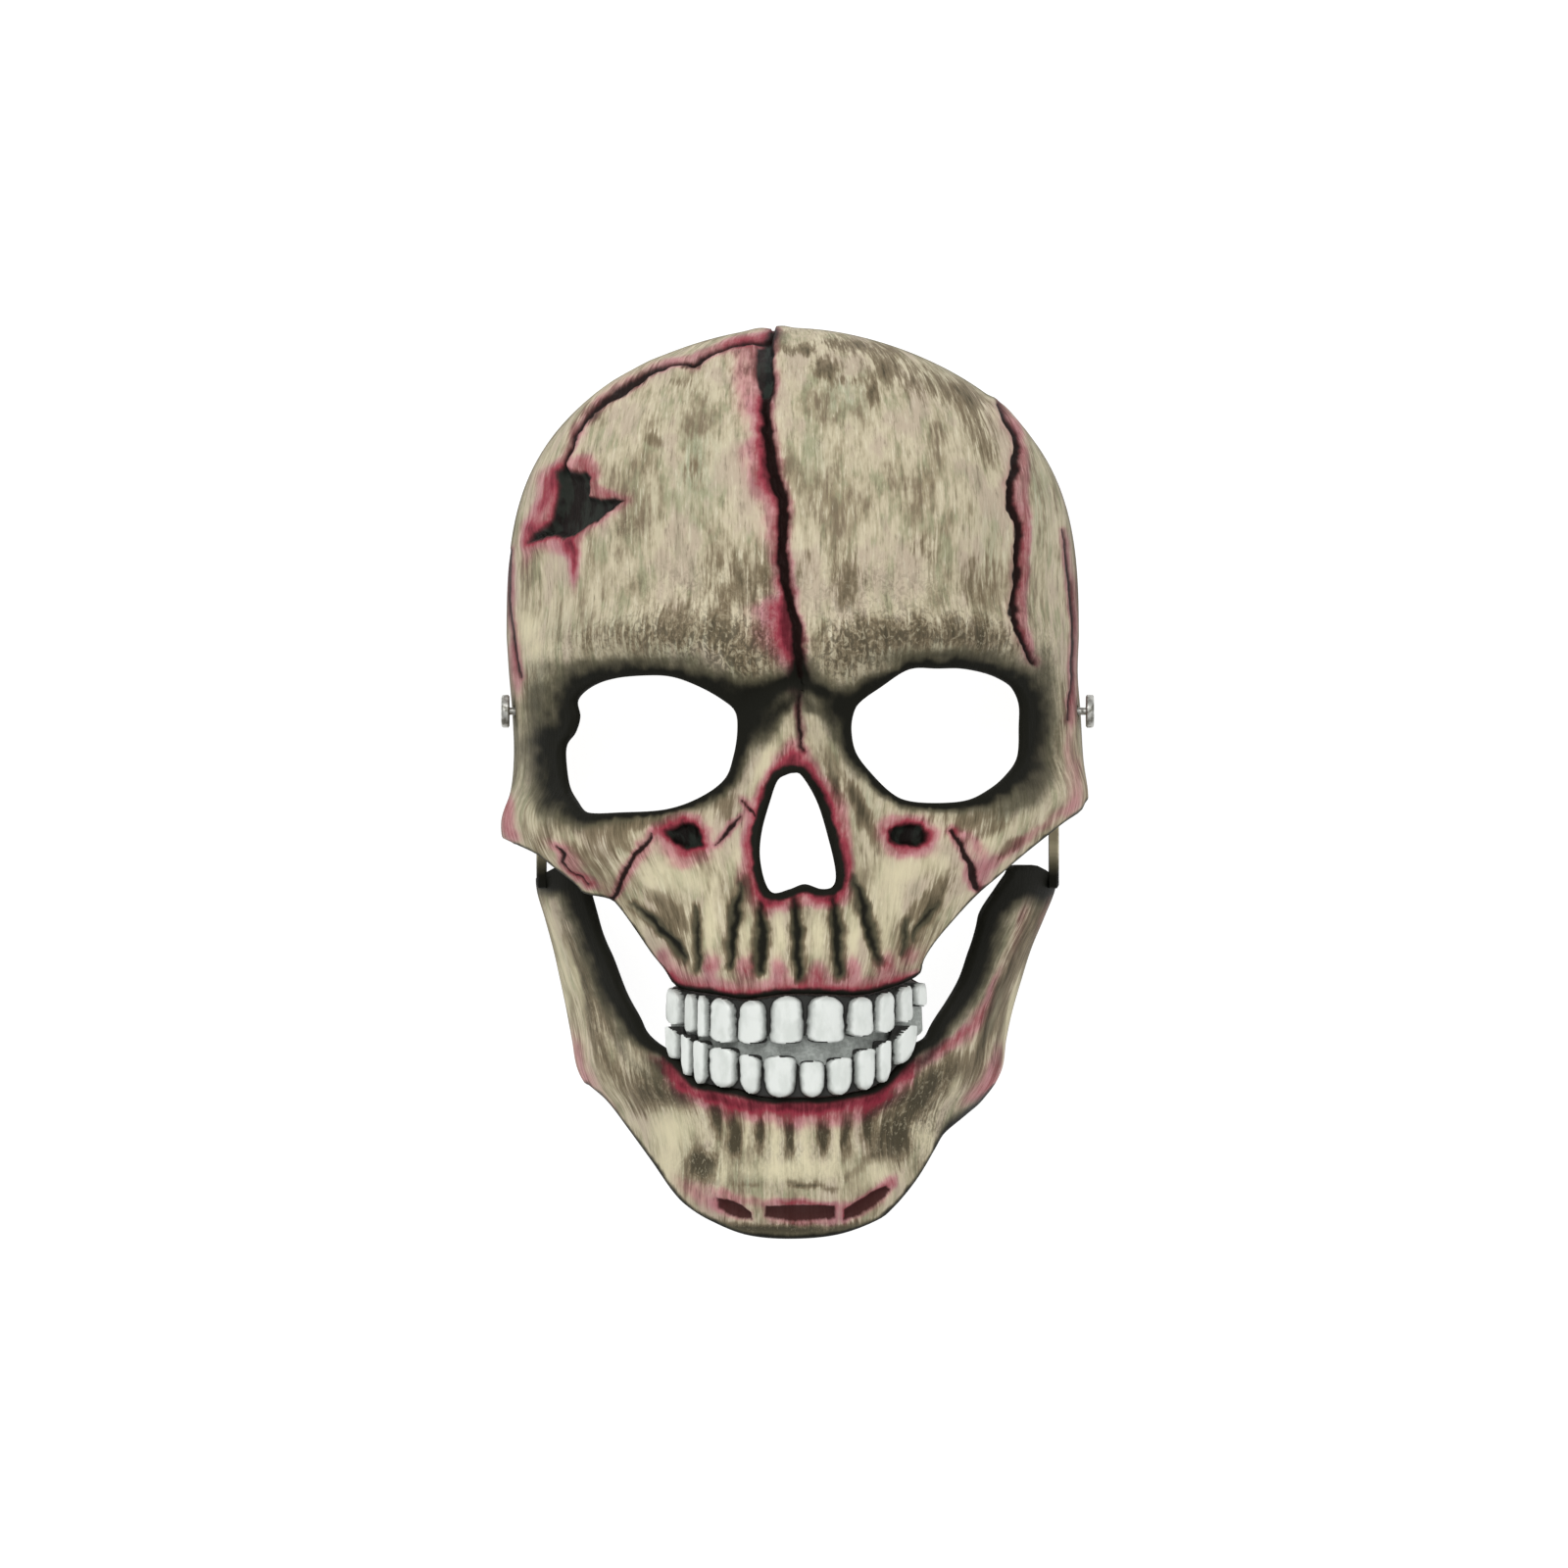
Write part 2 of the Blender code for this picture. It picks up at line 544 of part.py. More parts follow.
jaw_shell = wall_piece("jaw_shell", fill_pattern(jaw_rim, [], JAW_SPACING, []), bend_jaw, mask)
arm_turn = np.linspace(0, math.pi, 9)
arm_top = np.stack([ARM_HALF_WIDTH * np.cos(arm_turn), ARM_HALF_WIDTH * np.sin(arm_turn)], axis=1)
arm_top += (PIVOT_DEPTH, PIVOT_HEIGHT)
arm_foot = [(PIVOT_DEPTH - ARM_HALF_WIDTH, ARM_ROOT), (PIVOT_DEPTH + ARM_HALF_WIDTH, ARM_ROOT)]
arm_line = straight_line(np.vstack([arm_top, arm_foot, arm_top[:1]]), JAW_SPACING)[:-1]
arm_hole = (STEM_RADIUS + STEM_GAP) * np.stack([np.cos(round_turn), np.sin(round_turn)], axis=1)
arm_hole += (PIVOT_DEPTH, PIVOT_HEIGHT)
cutters = bpy.data.collections.new("build_guides")
scene.collection.children.link(cutters)
arms = []
for side in (-1, 1):

    def bend_arm(flat, side=side):
        """Outer and inner face of an arm."""
        outer = np.stack([np.full(len(flat), side * ARM_FACE), flat[:, 1], flat[:, 0]], axis=1)
        inner = outer - (side * JAW_WALL, 0, 0)
        return outer, inner

    pattern = fill_pattern(arm_line, [arm_hole], JAW_SPACING, [])
    arms.append(wall_piece("jaw_arm", pattern, bend_arm, cutters))
for arm in arms:
    union = jaw_shell.modifiers.new("arm", "BOOLEAN")
    union.operation = "UNION"
    union.solver = "EXACT"
    union.object = arm
bpy.context.view_layer.update()
joined = bpy.data.meshes.new_from_object(jaw_shell.evaluated_get(bpy.context.evaluated_depsgraph_get()))
jaw_shell.modifiers.clear()
bpy.data.objects.remove(jaw_shell, do_unlink=True)
for arm in arms:
    bpy.data.objects.remove(arm, do_unlink=True)
jaw_shell = finish_mesh("jaw_shell", joined, mask)
finish_material(jaw_shell, "painted_jaw", (0.46, 0.39, 0.29), 0.62, 0.0)

# Tooth rows: each one moulded strip of rounded teeth along the edge of its shell


def tooth_row(name, section, rows, gum, toward):
    """Comb of teeth between a gum line and the tips."""
    gum_points = gum[np.argsort(gum[:, 0])]
    half_gap = TOOTH_GAP / 2
    line = []
    for left, right, tip in rows:
        left, right, tip = left * HALF_WIDTH, right * HALF_WIDTH, tip * HALF_HEIGHT
        wide = right - left
        gum_left, gum_right = np.interp([left, right], gum_points[:, 0], gum_points[:, 1])
        line.append((left + half_gap, gum_left + ROOT_SHARE * (tip - gum_left)))
        line.append((left + half_gap / 2, gum_left + CORNER_SHARE * (tip - gum_left)))
        line.append((left + 0.18 * wide, tip))
        line.append((right - 0.18 * wide, tip))
        line.append((right - half_gap / 2, gum_right + CORNER_SHARE * (tip - gum_right)))
        line.append((right - half_gap, gum_right + ROOT_SHARE * (tip - gum_right)))
    first, last = line[0][0], line[-1][0]
    along = np.linspace(last, first, 26)
    foot = np.interp(along, gum_points[:, 0], gum_points[:, 1]) + toward * TOOTH_SEAT
    rim = np.vstack([straight_line(line, TOOTH_SPACING), np.stack([along, foot], axis=1)])

    def bend(flat):
        """Front and back of the row, each tooth a little domed."""
        place, out = base_form(section, flat)
        dome = np.zeros(len(flat))
        for left, right, tip in rows:
            middle = (left + right) / 2 * HALF_WIDTH
            half = (right - left) / 2 * HALF_WIDTH
            dome = np.maximum(dome, 1 - ((place[:, 0] - middle) / half) ** 2)
        lift = TOOTH_DOME * np.clip(dome, 0, 1)
        return place + out * lift[:, None], place - out * TOOTH_WALL

    pattern = fill_pattern(flat_from_front(section, rim), [], TOOTH_SPACING, [])
    piece = wall_piece(name, pattern, bend, mask)
    finish_material(piece, name + "_enamel", (0.76, 0.78, 0.74), 0.35, 0.0)
    return piece


upper_gum = smooth_line(scaled(LOWER_EDGE[11:20]), TOOTH_SPACING, False)
upper_teeth = tooth_row("upper_teeth", arch_section("upper"), UPPER_TEETH, upper_gum, -1)
lower_gum = smooth_line(scaled(JAW_TOP[11:24]), TOOTH_SPACING, False)
lower_teeth = tooth_row("lower_teeth", arch_section("lower"), LOWER_TEETH, lower_gum, 1)

# Screen: a thin strip behind the teeth
screen_line = [(-0.25, -0.645), (0.25, -0.645), (0.25, -0.505), (-0.25, -0.505), (-0.25, -0.645)]
screen_rim = straight_line(scaled(screen_line), SCREEN_SPACING)[:-1]


def bend_screen(flat):
    """Front and back of the screen."""
    place, out = base_form(arch_section("screen"), flat)
    return place, place - out * SCREEN_WALL


screen_flat = flat_from_front(arch_section("screen"), screen_rim)
screen_pattern = fill_pattern(screen_flat, [], SCREEN_SPACING, [])
mouth_screen = wall_piece("mouth_screen", screen_pattern, bend_screen, mask)
finish_material(mouth_screen, "grey_gauze", (0.21, 0.23, 0.21), 0.85, 0.0)

# Rivets: disc head outside, stem through shell and arm, washer inside
stem_inner = ARM_FACE - JAW_WALL - SEAM_GAP
head_back = HEAD_FACE - HEAD_THICKNESS
rivet_profile = [
    (stem_inner - WASHER_THICKNESS, 0.0),
    (stem_inner - WASHER_THICKNESS, WASHER_RADIUS),
    (stem_inner, WASHER_RADIUS),
    (stem_inner, STEM_RADIUS),
    (head_back, STEM_RADIUS),
    (head_back, HEAD_RADIUS - HEAD_ROUND),
    (head_back + HEAD_ROUND, HEAD_RADIUS),
    (HEAD_FACE - HEAD_ROUND, HEAD_RADIUS),
    (HEAD_FACE, HEAD_RADIUS - HEAD_ROUND),
    (HEAD_FACE, 0.0),
]
for side, name in ((-1, "rivet_left"), (1, "rivet_right")):
    outline = bpy.data.meshes.new(name)
    corners = [(side * x, radius, 0) for x, radius in rivet_profile]
    outline.from_pydata(corners, [(i, i + 1) for i in range(len(corners) - 1)], [])
    lathe = bpy.data.objects.new(name, outline)
    mask.objects.link(lathe)
    spin = lathe.modifiers.new("spin", "SCREW")
    spin.axis = "X"
    spin.steps = 24
    spin.render_steps = 24
    spin.use_merge_vertices = True
    spin.merge_threshold = 0.00001
    bpy.context.view_layer.update()
    turned = bpy.data.meshes.new_from_object(lathe.evaluated_get(bpy.context.evaluated_depsgraph_get()))
    bpy.data.objects.remove(lathe, do_unlink=True)
    rivet = finish_mesh(name, turned, mask)
    rivet.location = (0, PIVOT_HEIGHT, PIVOT_DEPTH)
    finish_material(rivet, name + "_steel", (0.32, 0.32, 0.29), 0.35, 0.9)

# Jaw hinge: the jaw pieces turn about the line through both rivets
jaw_axis = bpy.data.objects.new("jaw_hinge_axis", None)
cutters.objects.link(jaw_axis)
jaw_axis.location = (0, PIVOT_HEIGHT, PIVOT_DEPTH)
jaw_axis.hide_render = True
bpy.context.view_layer.update()
for piece in (jaw_shell, lower_teeth, mouth_screen):
    piece.parent = jaw_axis
    piece.matrix_parent_inverse = jaw_axis.matrix_world.inverted()
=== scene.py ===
import math

import bpy
import numpy as np
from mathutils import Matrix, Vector
from mathutils.geometry import delaunay_2d_cdt


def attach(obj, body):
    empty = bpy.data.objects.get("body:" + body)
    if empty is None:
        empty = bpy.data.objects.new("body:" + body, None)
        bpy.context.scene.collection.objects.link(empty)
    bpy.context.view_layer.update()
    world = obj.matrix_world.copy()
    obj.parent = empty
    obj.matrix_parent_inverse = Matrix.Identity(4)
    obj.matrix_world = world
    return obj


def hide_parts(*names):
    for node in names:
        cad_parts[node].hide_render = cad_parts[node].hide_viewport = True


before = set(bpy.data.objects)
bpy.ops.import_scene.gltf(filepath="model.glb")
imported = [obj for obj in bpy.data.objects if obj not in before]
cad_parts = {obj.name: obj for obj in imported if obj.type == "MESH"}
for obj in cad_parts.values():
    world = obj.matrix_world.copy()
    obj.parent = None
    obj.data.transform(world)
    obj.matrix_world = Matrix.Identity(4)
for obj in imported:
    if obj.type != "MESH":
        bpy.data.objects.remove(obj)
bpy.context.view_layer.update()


def placed(name, data):
    """New object in the scene that shows some data."""
    thing = bpy.data.objects.new(name, data)
    bpy.context.scene.collection.objects.link(thing)
    return thing


# Camera: square on to the face from far above, as in the picture, the crown at the top.
# Picture places below are in picture points of 0.3 mm, counted right and down.
POINT = 0.0003
MIDDLE = (814, 797)
PICTURE = 1600
# Sensor width in mm, and way in metres from the lens to the plane the picture is measured in
SENSOR, LENS_WAY = 36.0, 5.95
camera_data = bpy.data.cameras.new("camera")
camera_data.sensor_width = SENSOR
camera_data.lens = SENSOR * LENS_WAY / (PICTURE * POINT)
camera_data.clip_end = 50.0
camera = placed("camera", camera_data)
camera.location = ((PICTURE / 2 - MIDDLE[0]) * POINT, (MIDDLE[1] - PICTURE / 2) * POINT, 6.0)
bpy.context.scene.camera = camera
bpy.context.scene.view_settings.view_transform = "Standard"


class Wire:
    """A shader value that adds and multiplies like a number."""

    def __init__(self, tree, socket):
        self.tree, self.socket = tree, socket

    def maths(self, kind, *others, clamp=False):
        node = self.tree.nodes.new("ShaderNodeMath")
        node.operation = kind
        node.use_clamp = clamp
        for slot, value in zip(node.inputs, (self, *others)):
            if isinstance(value, Wire):
                self.tree.links.new(value.socket, slot)
            else:
                slot.default_value = value
        return Wire(self.tree, node.outputs[0])

    def __add__(self, other):
        return self.maths("ADD", other)

    def __sub__(self, other):
        return self.maths("SUBTRACT", other)

    def __rsub__(self, other):
        return (self * -1.0) + other

    def __mul__(self, other):
        return self.maths("MULTIPLY", other)

    def clamp(self):
        return self.maths("ADD", 0.0, clamp=True)

    def ramp(self, start, end):
        """Runs softly from 0 at start to 1 at end."""
        node = self.tree.nodes.new("ShaderNodeMapRange")
        node.interpolation_type = "SMOOTHSTEP"
        self.tree.links.new(self.socket, node.inputs["Value"])
        node.inputs["From Min"].default_value = start
        node.inputs["From Max"].default_value = end
        if start > end:
            node.inputs["From Min"].default_value = end
            node.inputs["From Max"].default_value = start
            node.inputs["To Min"].default_value = 1.0
            node.inputs["To Max"].default_value = 0.0
        return Wire(self.tree, node.outputs["Result"])


class Paint:
    """One material and the tools that colour it."""

    def __init__(self, name, roughness=0.6, metallic=0.0, shine=0.5):
        self.material = bpy.data.materials.new(name)
        self.material.use_nodes = True
        self.tree = self.material.node_tree
        self.shader = self.tree.nodes["Principled BSDF"]
        self.shader.inputs["Roughness"].default_value = roughness
        self.shader.inputs["Metallic"].default_value = metallic
        self.shader.inputs["Specular IOR Level"].default_value = shine
        self.place = self.node("ShaderNodeTexCoord").outputs["Object"]

    def node(self, kind, **settings):
        node = self.tree.nodes.new(kind)
        for name, value in settings.items():
            setattr(node, name, value)
        return node

    def link(self, source, socket):
        self.tree.links.new(source.socket if isinstance(source, Wire) else source, socket)

    def field(self, name):
        """Value stored on the vertices under a name."""
        return Wire(self.tree, self.node("ShaderNodeAttribute", attribute_name=name).outputs["Fac"])

    def noise(self, size, stretch=(1, 1, 1), detail=4.0, rough=0.55, shift=0.0, bend=0.0):
        """Cloudy value round 0.5 with lumps of a size in metres, longer where stretch is larger."""
        spread = self.node("ShaderNodeMapping")
        self.link(self.place, spread.inputs["Vector"])
        spread.inputs["Location"].default_value = (shift, shift * 0.7, shift * 1.3)
        spread.inputs["Scale"].default_value = tuple(1 / (size * s) for s in stretch)
        node = self.node("ShaderNodeTexNoise")
        self.link(spread.outputs[0], node.inputs["Vector"])
        node.inputs["Scale"].default_value = 1.0
        node.inputs["Detail"].default_value = detail
        node.inputs["Roughness"].default_value = rough
        node.inputs["Distortion"].default_value = bend
        return Wire(self.tree, node.outputs["Fac"])

    def mix(self, below, above, factor, blend="MIX"):
        """Colour above laid over colour below by a factor."""
        node = self.node("ShaderNodeMix", data_type="RGBA", blend_type=blend)
        node.clamp_factor = True
        for value, socket in ((below, node.inputs[6]), (above, node.inputs[7])):
            if isinstance(value, tuple):
                socket.default_value = (*value, 1)
            else:
                self.link(value, socket)
        if isinstance(factor, Wire):
            self.link(factor, node.inputs[0])
        else:
            node.inputs[0].default_value = factor
        return node.outputs[2]

    def bump(self, height, depth):
        """Fine unevenness of a depth in metres."""
        node = self.node("ShaderNodeBump")
        node.inputs["Distance"].default_value = depth
        self.link(height, node.inputs["Height"])
        self.link(node.outputs["Normal"], self.shader.inputs["Normal"])

    def colour(self, value):
        self.link(value, self.shader.inputs["Base Color"])

    def roughness(self, value):
        self.link(value, self.shader.inputs["Roughness"])


def bone_paint(name, cut):
    """Dry-brushed bone paint: cream over brown in short upright strokes, then airbrushed stains, painted
    shade and a painted highlight.

    Each layer is a colour laid over the ones before it by a factor; cut colours the lines.
    """
    paint = Paint(name, shine=0.05)
    paint.place = paint.node("ShaderNodeAttribute", attribute_name="flat").outputs["Vector"]
    fine = paint.noise(0.0008, (1, 9, 1), detail=3, rough=0.65, bend=0.3)
    strokes = paint.noise(0.0022, (1, 6.5, 1), detail=5, rough=0.62, shift=3.1, bend=0.5)
    patches = paint.noise(0.017, (1, 1.7, 1), detail=4, rough=0.62, shift=7.7)
    small = paint.noise(0.0065, (1, 2.3, 1), detail=4, rough=0.62, shift=1.7)
    grain = paint.noise(0.0011, (1, 1.3, 1), detail=3, rough=0.7, shift=5.2)
    worms = paint.noise(0.0022, (1, 1.2, 1), detail=3, rough=0.6, shift=9.4, bend=1.6)
    chips = paint.noise(0.0030, (1, 3.0, 1), detail=5, rough=0.7, shift=2.3)
    worn = (strokes * 0.55 + patches * 1.25 + small * 0.65 + fine * 0.35 - 0.95).clamp()
    green, stain, speck = map(paint.field, ("green", "brown", "speck"))
    pale, red, shade = map(paint.field, ("pale", "red", "dark"))
    uneven = (strokes - 0.5) * 1.5 + (fine - 0.5) * 0.8 + (small - 0.5) * 0.9
    brown = stain + uneven * stain.ramp(0.0, 0.3) * (1.25 - stain)
    rub = worms + (grain - 0.5) * 0.5
    wash = (red + ((small - 0.5) * 0.4 + (strokes - 0.5) * 0.35) * red.ramp(0.0, 0.2)).clamp()
    uneven = (strokes - 0.5) * 0.3 + (grain - 0.5) * 0.3
    shade = (shade + uneven * shade.ramp(0.02, 0.25) * (1.15 - shade)).clamp()
    line = (paint.field("line") + (grain - 0.5) * 2.2 + (chips - 0.5) * 2.0).ramp(1.8, -0.6)
    pit = paint.field("pit").ramp(0.7, -0.8)
    pit_colour = paint.mix((0.004, 0.005, 0.004), (0.017, 0.024, 0.019), small.ramp(0.44, 0.58))
    colour = (0.63, 0.56, 0.40)
    for above, factor in (
        ((0.33, 0.275, 0.175), worn.ramp(0.24, 0.72)),
        ((0.33, 0.36, 0.22), (small * 0.6 + strokes * 0.4).ramp(0.50, 0.60) * 0.5),
        ((0.30, 0.34, 0.225), green * strokes.ramp(0.64, 0.32) * 0.85),
        ((0.40, 0.30, 0.245), patches.ramp(0.50, 0.38) * 0.50),
        ((0.165, 0.12, 0.08), patches.ramp(0.50, 0.66) * strokes.ramp(0.38, 0.60) * 0.7),
        ((0.15, 0.12, 0.08), (fine * 0.6 + strokes * 0.4).ramp(0.52, 0.66) * 0.45),
        ((0.10, 0.085, 0.055), (chips * 0.7 + fine * 0.3).ramp(0.56, 0.66) * 0.42),
        ((0.74, 0.69, 0.53), (fine * 0.7 + strokes * 0.3).ramp(0.46, 0.34) * 0.45),
        ((0.20, 0.155, 0.095), brown.ramp(0.05, 0.42) * 0.9),
        ((0.060, 0.050, 0.030), brown.ramp(0.34, 0.86) * 0.95),
        ((0.085, 0.072, 0.048), speck * rub.ramp(0.47, 0.60) * 0.85),
        ((0.50, 0.45, 0.32), speck * rub.ramp(0.46, 0.34) * 0.6),
        ((0.74, 0.675, 0.455), (pale * (1.25 - worn) + (strokes - 0.5) * pale).ramp(0.1, 0.9) * 0.85),
    ):
        colour = paint.mix(colour, above, factor)
    colour = paint.mix(colour, (0.93, 0.50, 0.72), wash.ramp(0.0, 0.42) * 0.92, "MULTIPLY")
    for above, factor in (
        ((0.30, 0.028, 0.054), (wash + (grain - 0.5) * 0.3).ramp(0.36, 0.82) * 0.88),
        ((0.070, 0.009, 0.014), (wash + (grain - 0.5) * 0.2).ramp(0.72, 1.02) * 0.85),
        ((0.100, 0.090, 0.056), shade.ramp(0.02, 0.52) * (0.88 - wash * 0.85)),
        ((0.070, 0.012, 0.018), wash.ramp(0.2, 0.6) * shade.ramp(0.10, 0.60) * 0.8),
        ((0.011, 0.011, 0.008), shade.ramp(0.36, 0.90)),
        (cut, line * 0.96),
        (pit_colour, pit * 0.97),
    ):
        colour = paint.mix(colour, above, factor)
    paint.colour(colour)
    paint.roughness((worn * 0.2 + 0.54 - pit * 0.15).clamp())
    paint.bump(fine * 0.4 + small * 0.5 + worms * speck * 0.6, 0.0005)
    return paint.material


# Floor: a plain white table top, lit from within like a photographer's shooting table.
floor_mesh = bpy.data.meshes.new("floor")
FLOOR_HALF = 6.0
corners = [(x * FLOOR_HALF, y * FLOOR_HALF, 0) for x, y in ((-1, -1), (1, -1), (1, 1), (-1, 1))]
floor_mesh.from_pydata(corners, [], [(0, 1, 2, 3)])
floor = placed("floor", floor_mesh)
floor_paint = Paint("white table top", roughness=0.9)
floor_paint.shader.inputs["Base Color"].default_value = (0.30, 0.30, 0.30, 1)
floor_paint.shader.inputs["Emission Color"].default_value = (1, 1, 1, 1)
floor_paint.shader.inputs["Emission Strength"].default_value = 0.90
floor_mesh.materials.append(floor_paint.material)

# Light: a soft white room and two broad panels above the face, the brighter one from the crown side.
world = bpy.data.worlds.new("room")
bpy.context.scene.world = world
world.use_nodes = True
world.node_tree.nodes["Background"].inputs["Color"].default_value = (1, 1, 1, 1)
world.node_tree.nodes["Background"].inputs["Strength"].default_value = 0.50
for name, place, width, power in (
    ("crown panel", (-0.35, 0.75, 1.5), 0.9, 14.0),
    ("chin panel", (0.5, -0.6, 1.6), 1.2, 5.0),
):
    light = bpy.data.lights.new(name, "AREA")
    light.energy = power
    light.size = width
    lamp = placed(name, light)
    lamp.location = place
    lamp.rotation_euler = (-Vector(place)).to_track_quat("-Z", "Y").to_euler()

# Upper shell: one thin moulded wall from the crown to the upper gum line, sculpted and then painted.
# It is drawn as a flat pattern, filled with an even grid, and bent round level sections of the head.

# Face size and wall in metres, the hinge as its height and its place above the back rim, and its hole
HALF_WIDTH, HALF_HEIGHT, DEPTH = 0.0885, 0.1398, 0.0980
SHELL_WALL = 0.0025
PIVOT, PIVOT_HOLE = (0.0215, 0.0180), 0.00205
# Steps of the painted grid, of the grid behind it and of the drawn lines, then reach and fall of the
# softened edges and the deepest cut, in metres
SHELL_GRID, SHELL_BACK_GRID, LINE_STEP = 0.00125, 0.0030, 0.0009
SOFT_EDGE, EDGE_FALL, DEEPEST = 0.0012, 0.0009, 0.0019
# Gap that paints no line and no pit, in picture points
FAR_OFF = 9.0
# Height share from which the crown rounds over, the rest of it, and how much longer its way over is
CROWN_FROM, CROWN_SPAN = 0.32, 0.68
CROWN_STRETCH = 1.6
# Depth and reach of the eye sockets, and height of the peak on the crown, in metres
SOCKET_DEPTH, SOCKET_REACH, PEAK_HEIGHT = 0.0085, 0.0100, 0.0010

# columns: height share, half width share, centre share, depth share, roundness
FACE_SECTIONS = [
    (-0.560, 0.600, 0.000, 0.990, 2.2),
    (-0.440, 0.640, 0.000, 1.010, 2.2),
    (-0.390, 0.690, 0.000, 1.015, 2.2),
    (-0.320, 0.800, 0.002, 1.020, 2.2),
    (-0.250, 0.905, 0.002, 1.020, 2.2),
    (-0.200, 0.962, 0.000, 1.015, 2.2),
    (-0.150, 1.010, -0.008, 1.010, 2.2),
    (-0.095, 1.022, -0.010, 1.000, 2.2),
    (-0.030, 1.005, 0.003, 0.990, 2.2),
    (0.050, 0.993, 0.003, 0.990, 2.2),
    (0.150, 0.991, -0.004, 0.990, 2.2),
    (0.240, 0.992, -0.015, 0.995, 2.2),
    (0.320, 0.998, -0.017, 1.000, 2.2),
]


def sections(rows, height):
    """Smooth curves through a section table at some heights."""
    at = np.array([row[0] for row in rows]) * HALF_HEIGHT
    where = np.clip(height, at[0], at[-1])
    low = np.clip(np.searchsorted(at, where) - 1, 0, len(at) - 2)
    step = at[low + 1] - at[low]
    t = (where - at[low]) / step
    out = []
    for column, unit in ((1, HALF_WIDTH), (2, HALF_WIDTH), (3, DEPTH), (4, 1.0)):
        value = np.array([row[column] for row in rows]) * unit
        slope = np.gradient(value, at)
        ends = value[low] * (1 + 2 * t) * (1 - t) ** 2 + value[low + 1] * t * t * (3 - 2 * t)
        turns = slope[low] * t * (1 - t) ** 2 - slope[low + 1] * t * t * (1 - t)
        out.append(ends + turns * step)
    return out


def face_section(height):
    """Half width, centre, depth and roundness of the upper shell; the crown closes as a rounded arch."""
    wide, centre, depth, round_ = sections(FACE_SECTIONS, height)
    t = np.clip((height / HALF_HEIGHT - CROWN_FROM) / CROWN_SPAN, 0, 0.99999)
    curve = 2.7 - 0.7 * t * t
    wide = wide * (1 - t ** curve) ** (1 / curve)
    depth = depth * (1 - t ** 2.5) ** 0.4
    return wide, centre - 0.010 * HALF_WIDTH * t * t, depth, round_


def flat_arc(height):
    """Way up the middle of the face at some heights: the height, then an arc over the crown."""
    t = np.clip((height / HALF_HEIGHT - CROWN_FROM) / CROWN_SPAN, 0, 1)
    over = HALF_HEIGHT * (CROWN_FROM + CROWN_SPAN * CROWN_STRETCH * np.arcsin(t) * 2 / math.pi)
    return np.where(height > CROWN_FROM * HALF_HEIGHT, over, height)


def arc_height(arc):
    """Height at some ways up the middle of the face, the reverse of flat_arc."""
    t = np.clip((arc / HALF_HEIGHT - CROWN_FROM) / (CROWN_SPAN * CROWN_STRETCH), 0, 1)
    over = HALF_HEIGHT * (CROWN_FROM + CROWN_SPAN * np.sin(t * math.pi / 2))
    return np.where(arc > CROWN_FROM * HALF_HEIGHT, over, arc)


def girth(wide, depth):
    """Quarter of the way round a section."""
    return 1.03 * math.pi / 2 * np.sqrt((wide * wide + depth * depth) / 2)


def flat_turn(section, turn, height):
    """Flat pattern places of turn angles at heights: share of the girth across, arc up."""
    wide, _, depth, _ = section(height)
    return np.stack([girth(wide, depth) * turn * 2 / math.pi, flat_arc(height)], axis=1)


def flat_front(section, points):
    """Flat pattern places of points seen from the front."""
    wide, centre = section(points[:, 1])[:2]
    turn = np.arcsin(np.clip((points[:, 0] - centre) / wide, -1, 1))
    return flat_turn(section, turn, points[:, 1])


def flat_side(section, side, points):
    """Flat pattern places of points seen from one side, as height and depth."""
    depth, round_ = section(points[:, 0])[2:]
    share = 1 - np.clip(points[:, 1] / depth, 0, 1) ** round_
    return flat_turn(section, side * np.arcsin(share ** (1 / round_)), points[:, 0])


def bent(section, flat):
    """Points and outward directions of the rounded form.

    At a height the section runs x = centre + width sin t and z = depth (1 - sin^n t)^(1/n).
    """
    height = arc_height(flat[:, 1])
    wide, centre, depth, round_ = section(height)
    turn = np.clip(flat[:, 0] * math.pi / 2 / girth(wide, depth), -math.pi / 2, math.pi / 2)
    across = np.sin(turn)
    share = np.clip(1 - np.abs(across) ** round_, 0, 1)
    share = np.where(share < 1e-9, 0, share)
    front = share ** (1 / round_)
    step = 0.001 * HALF_HEIGHT
    up, down = section(height + step), section(height - step)
    widen, shift, deepen = ((up[i] - down[i]) / (2 * step) for i in range(3))
    part_x = np.sign(across) * np.abs(across) ** (round_ - 1) / wide
    part_z = front ** (round_ - 1) / depth
    part_y = -(np.abs(across) ** round_ * widen / wide + share * deepen / depth) - part_x * shift
    out = np.stack([part_x, part_y, part_z], axis=1)
    out /= np.linalg.norm(out, axis=1, keepdims=True)
    return np.stack([centre + wide * across, height, depth * front], axis=1), out


def arch_section(wide, depth, round_):
    """Section of an arch that is the same at every height, from shares of the face's size."""

    def section(height):
        one = np.ones_like(height)
        return wide * HALF_WIDTH * one, 0 * one, depth * DEPTH * one, round_ * one

    return section


def inside_of(form, wall):
    """Plain inside of a form, a wall's thickness behind its outside."""

    def back(flat):
        place, out = form(flat)
        return place - out * wall

    return back


def metres(points):
    """Picture places turned into metres across and up."""
    points = np.array([row[:2] for row in points], float)
    return (points - MIDDLE) * (POINT, -POINT)


def in_picture(place):
    """Metres across and up turned into picture places."""
    return place[:, :2] / (POINT, -POINT) + MIDDLE


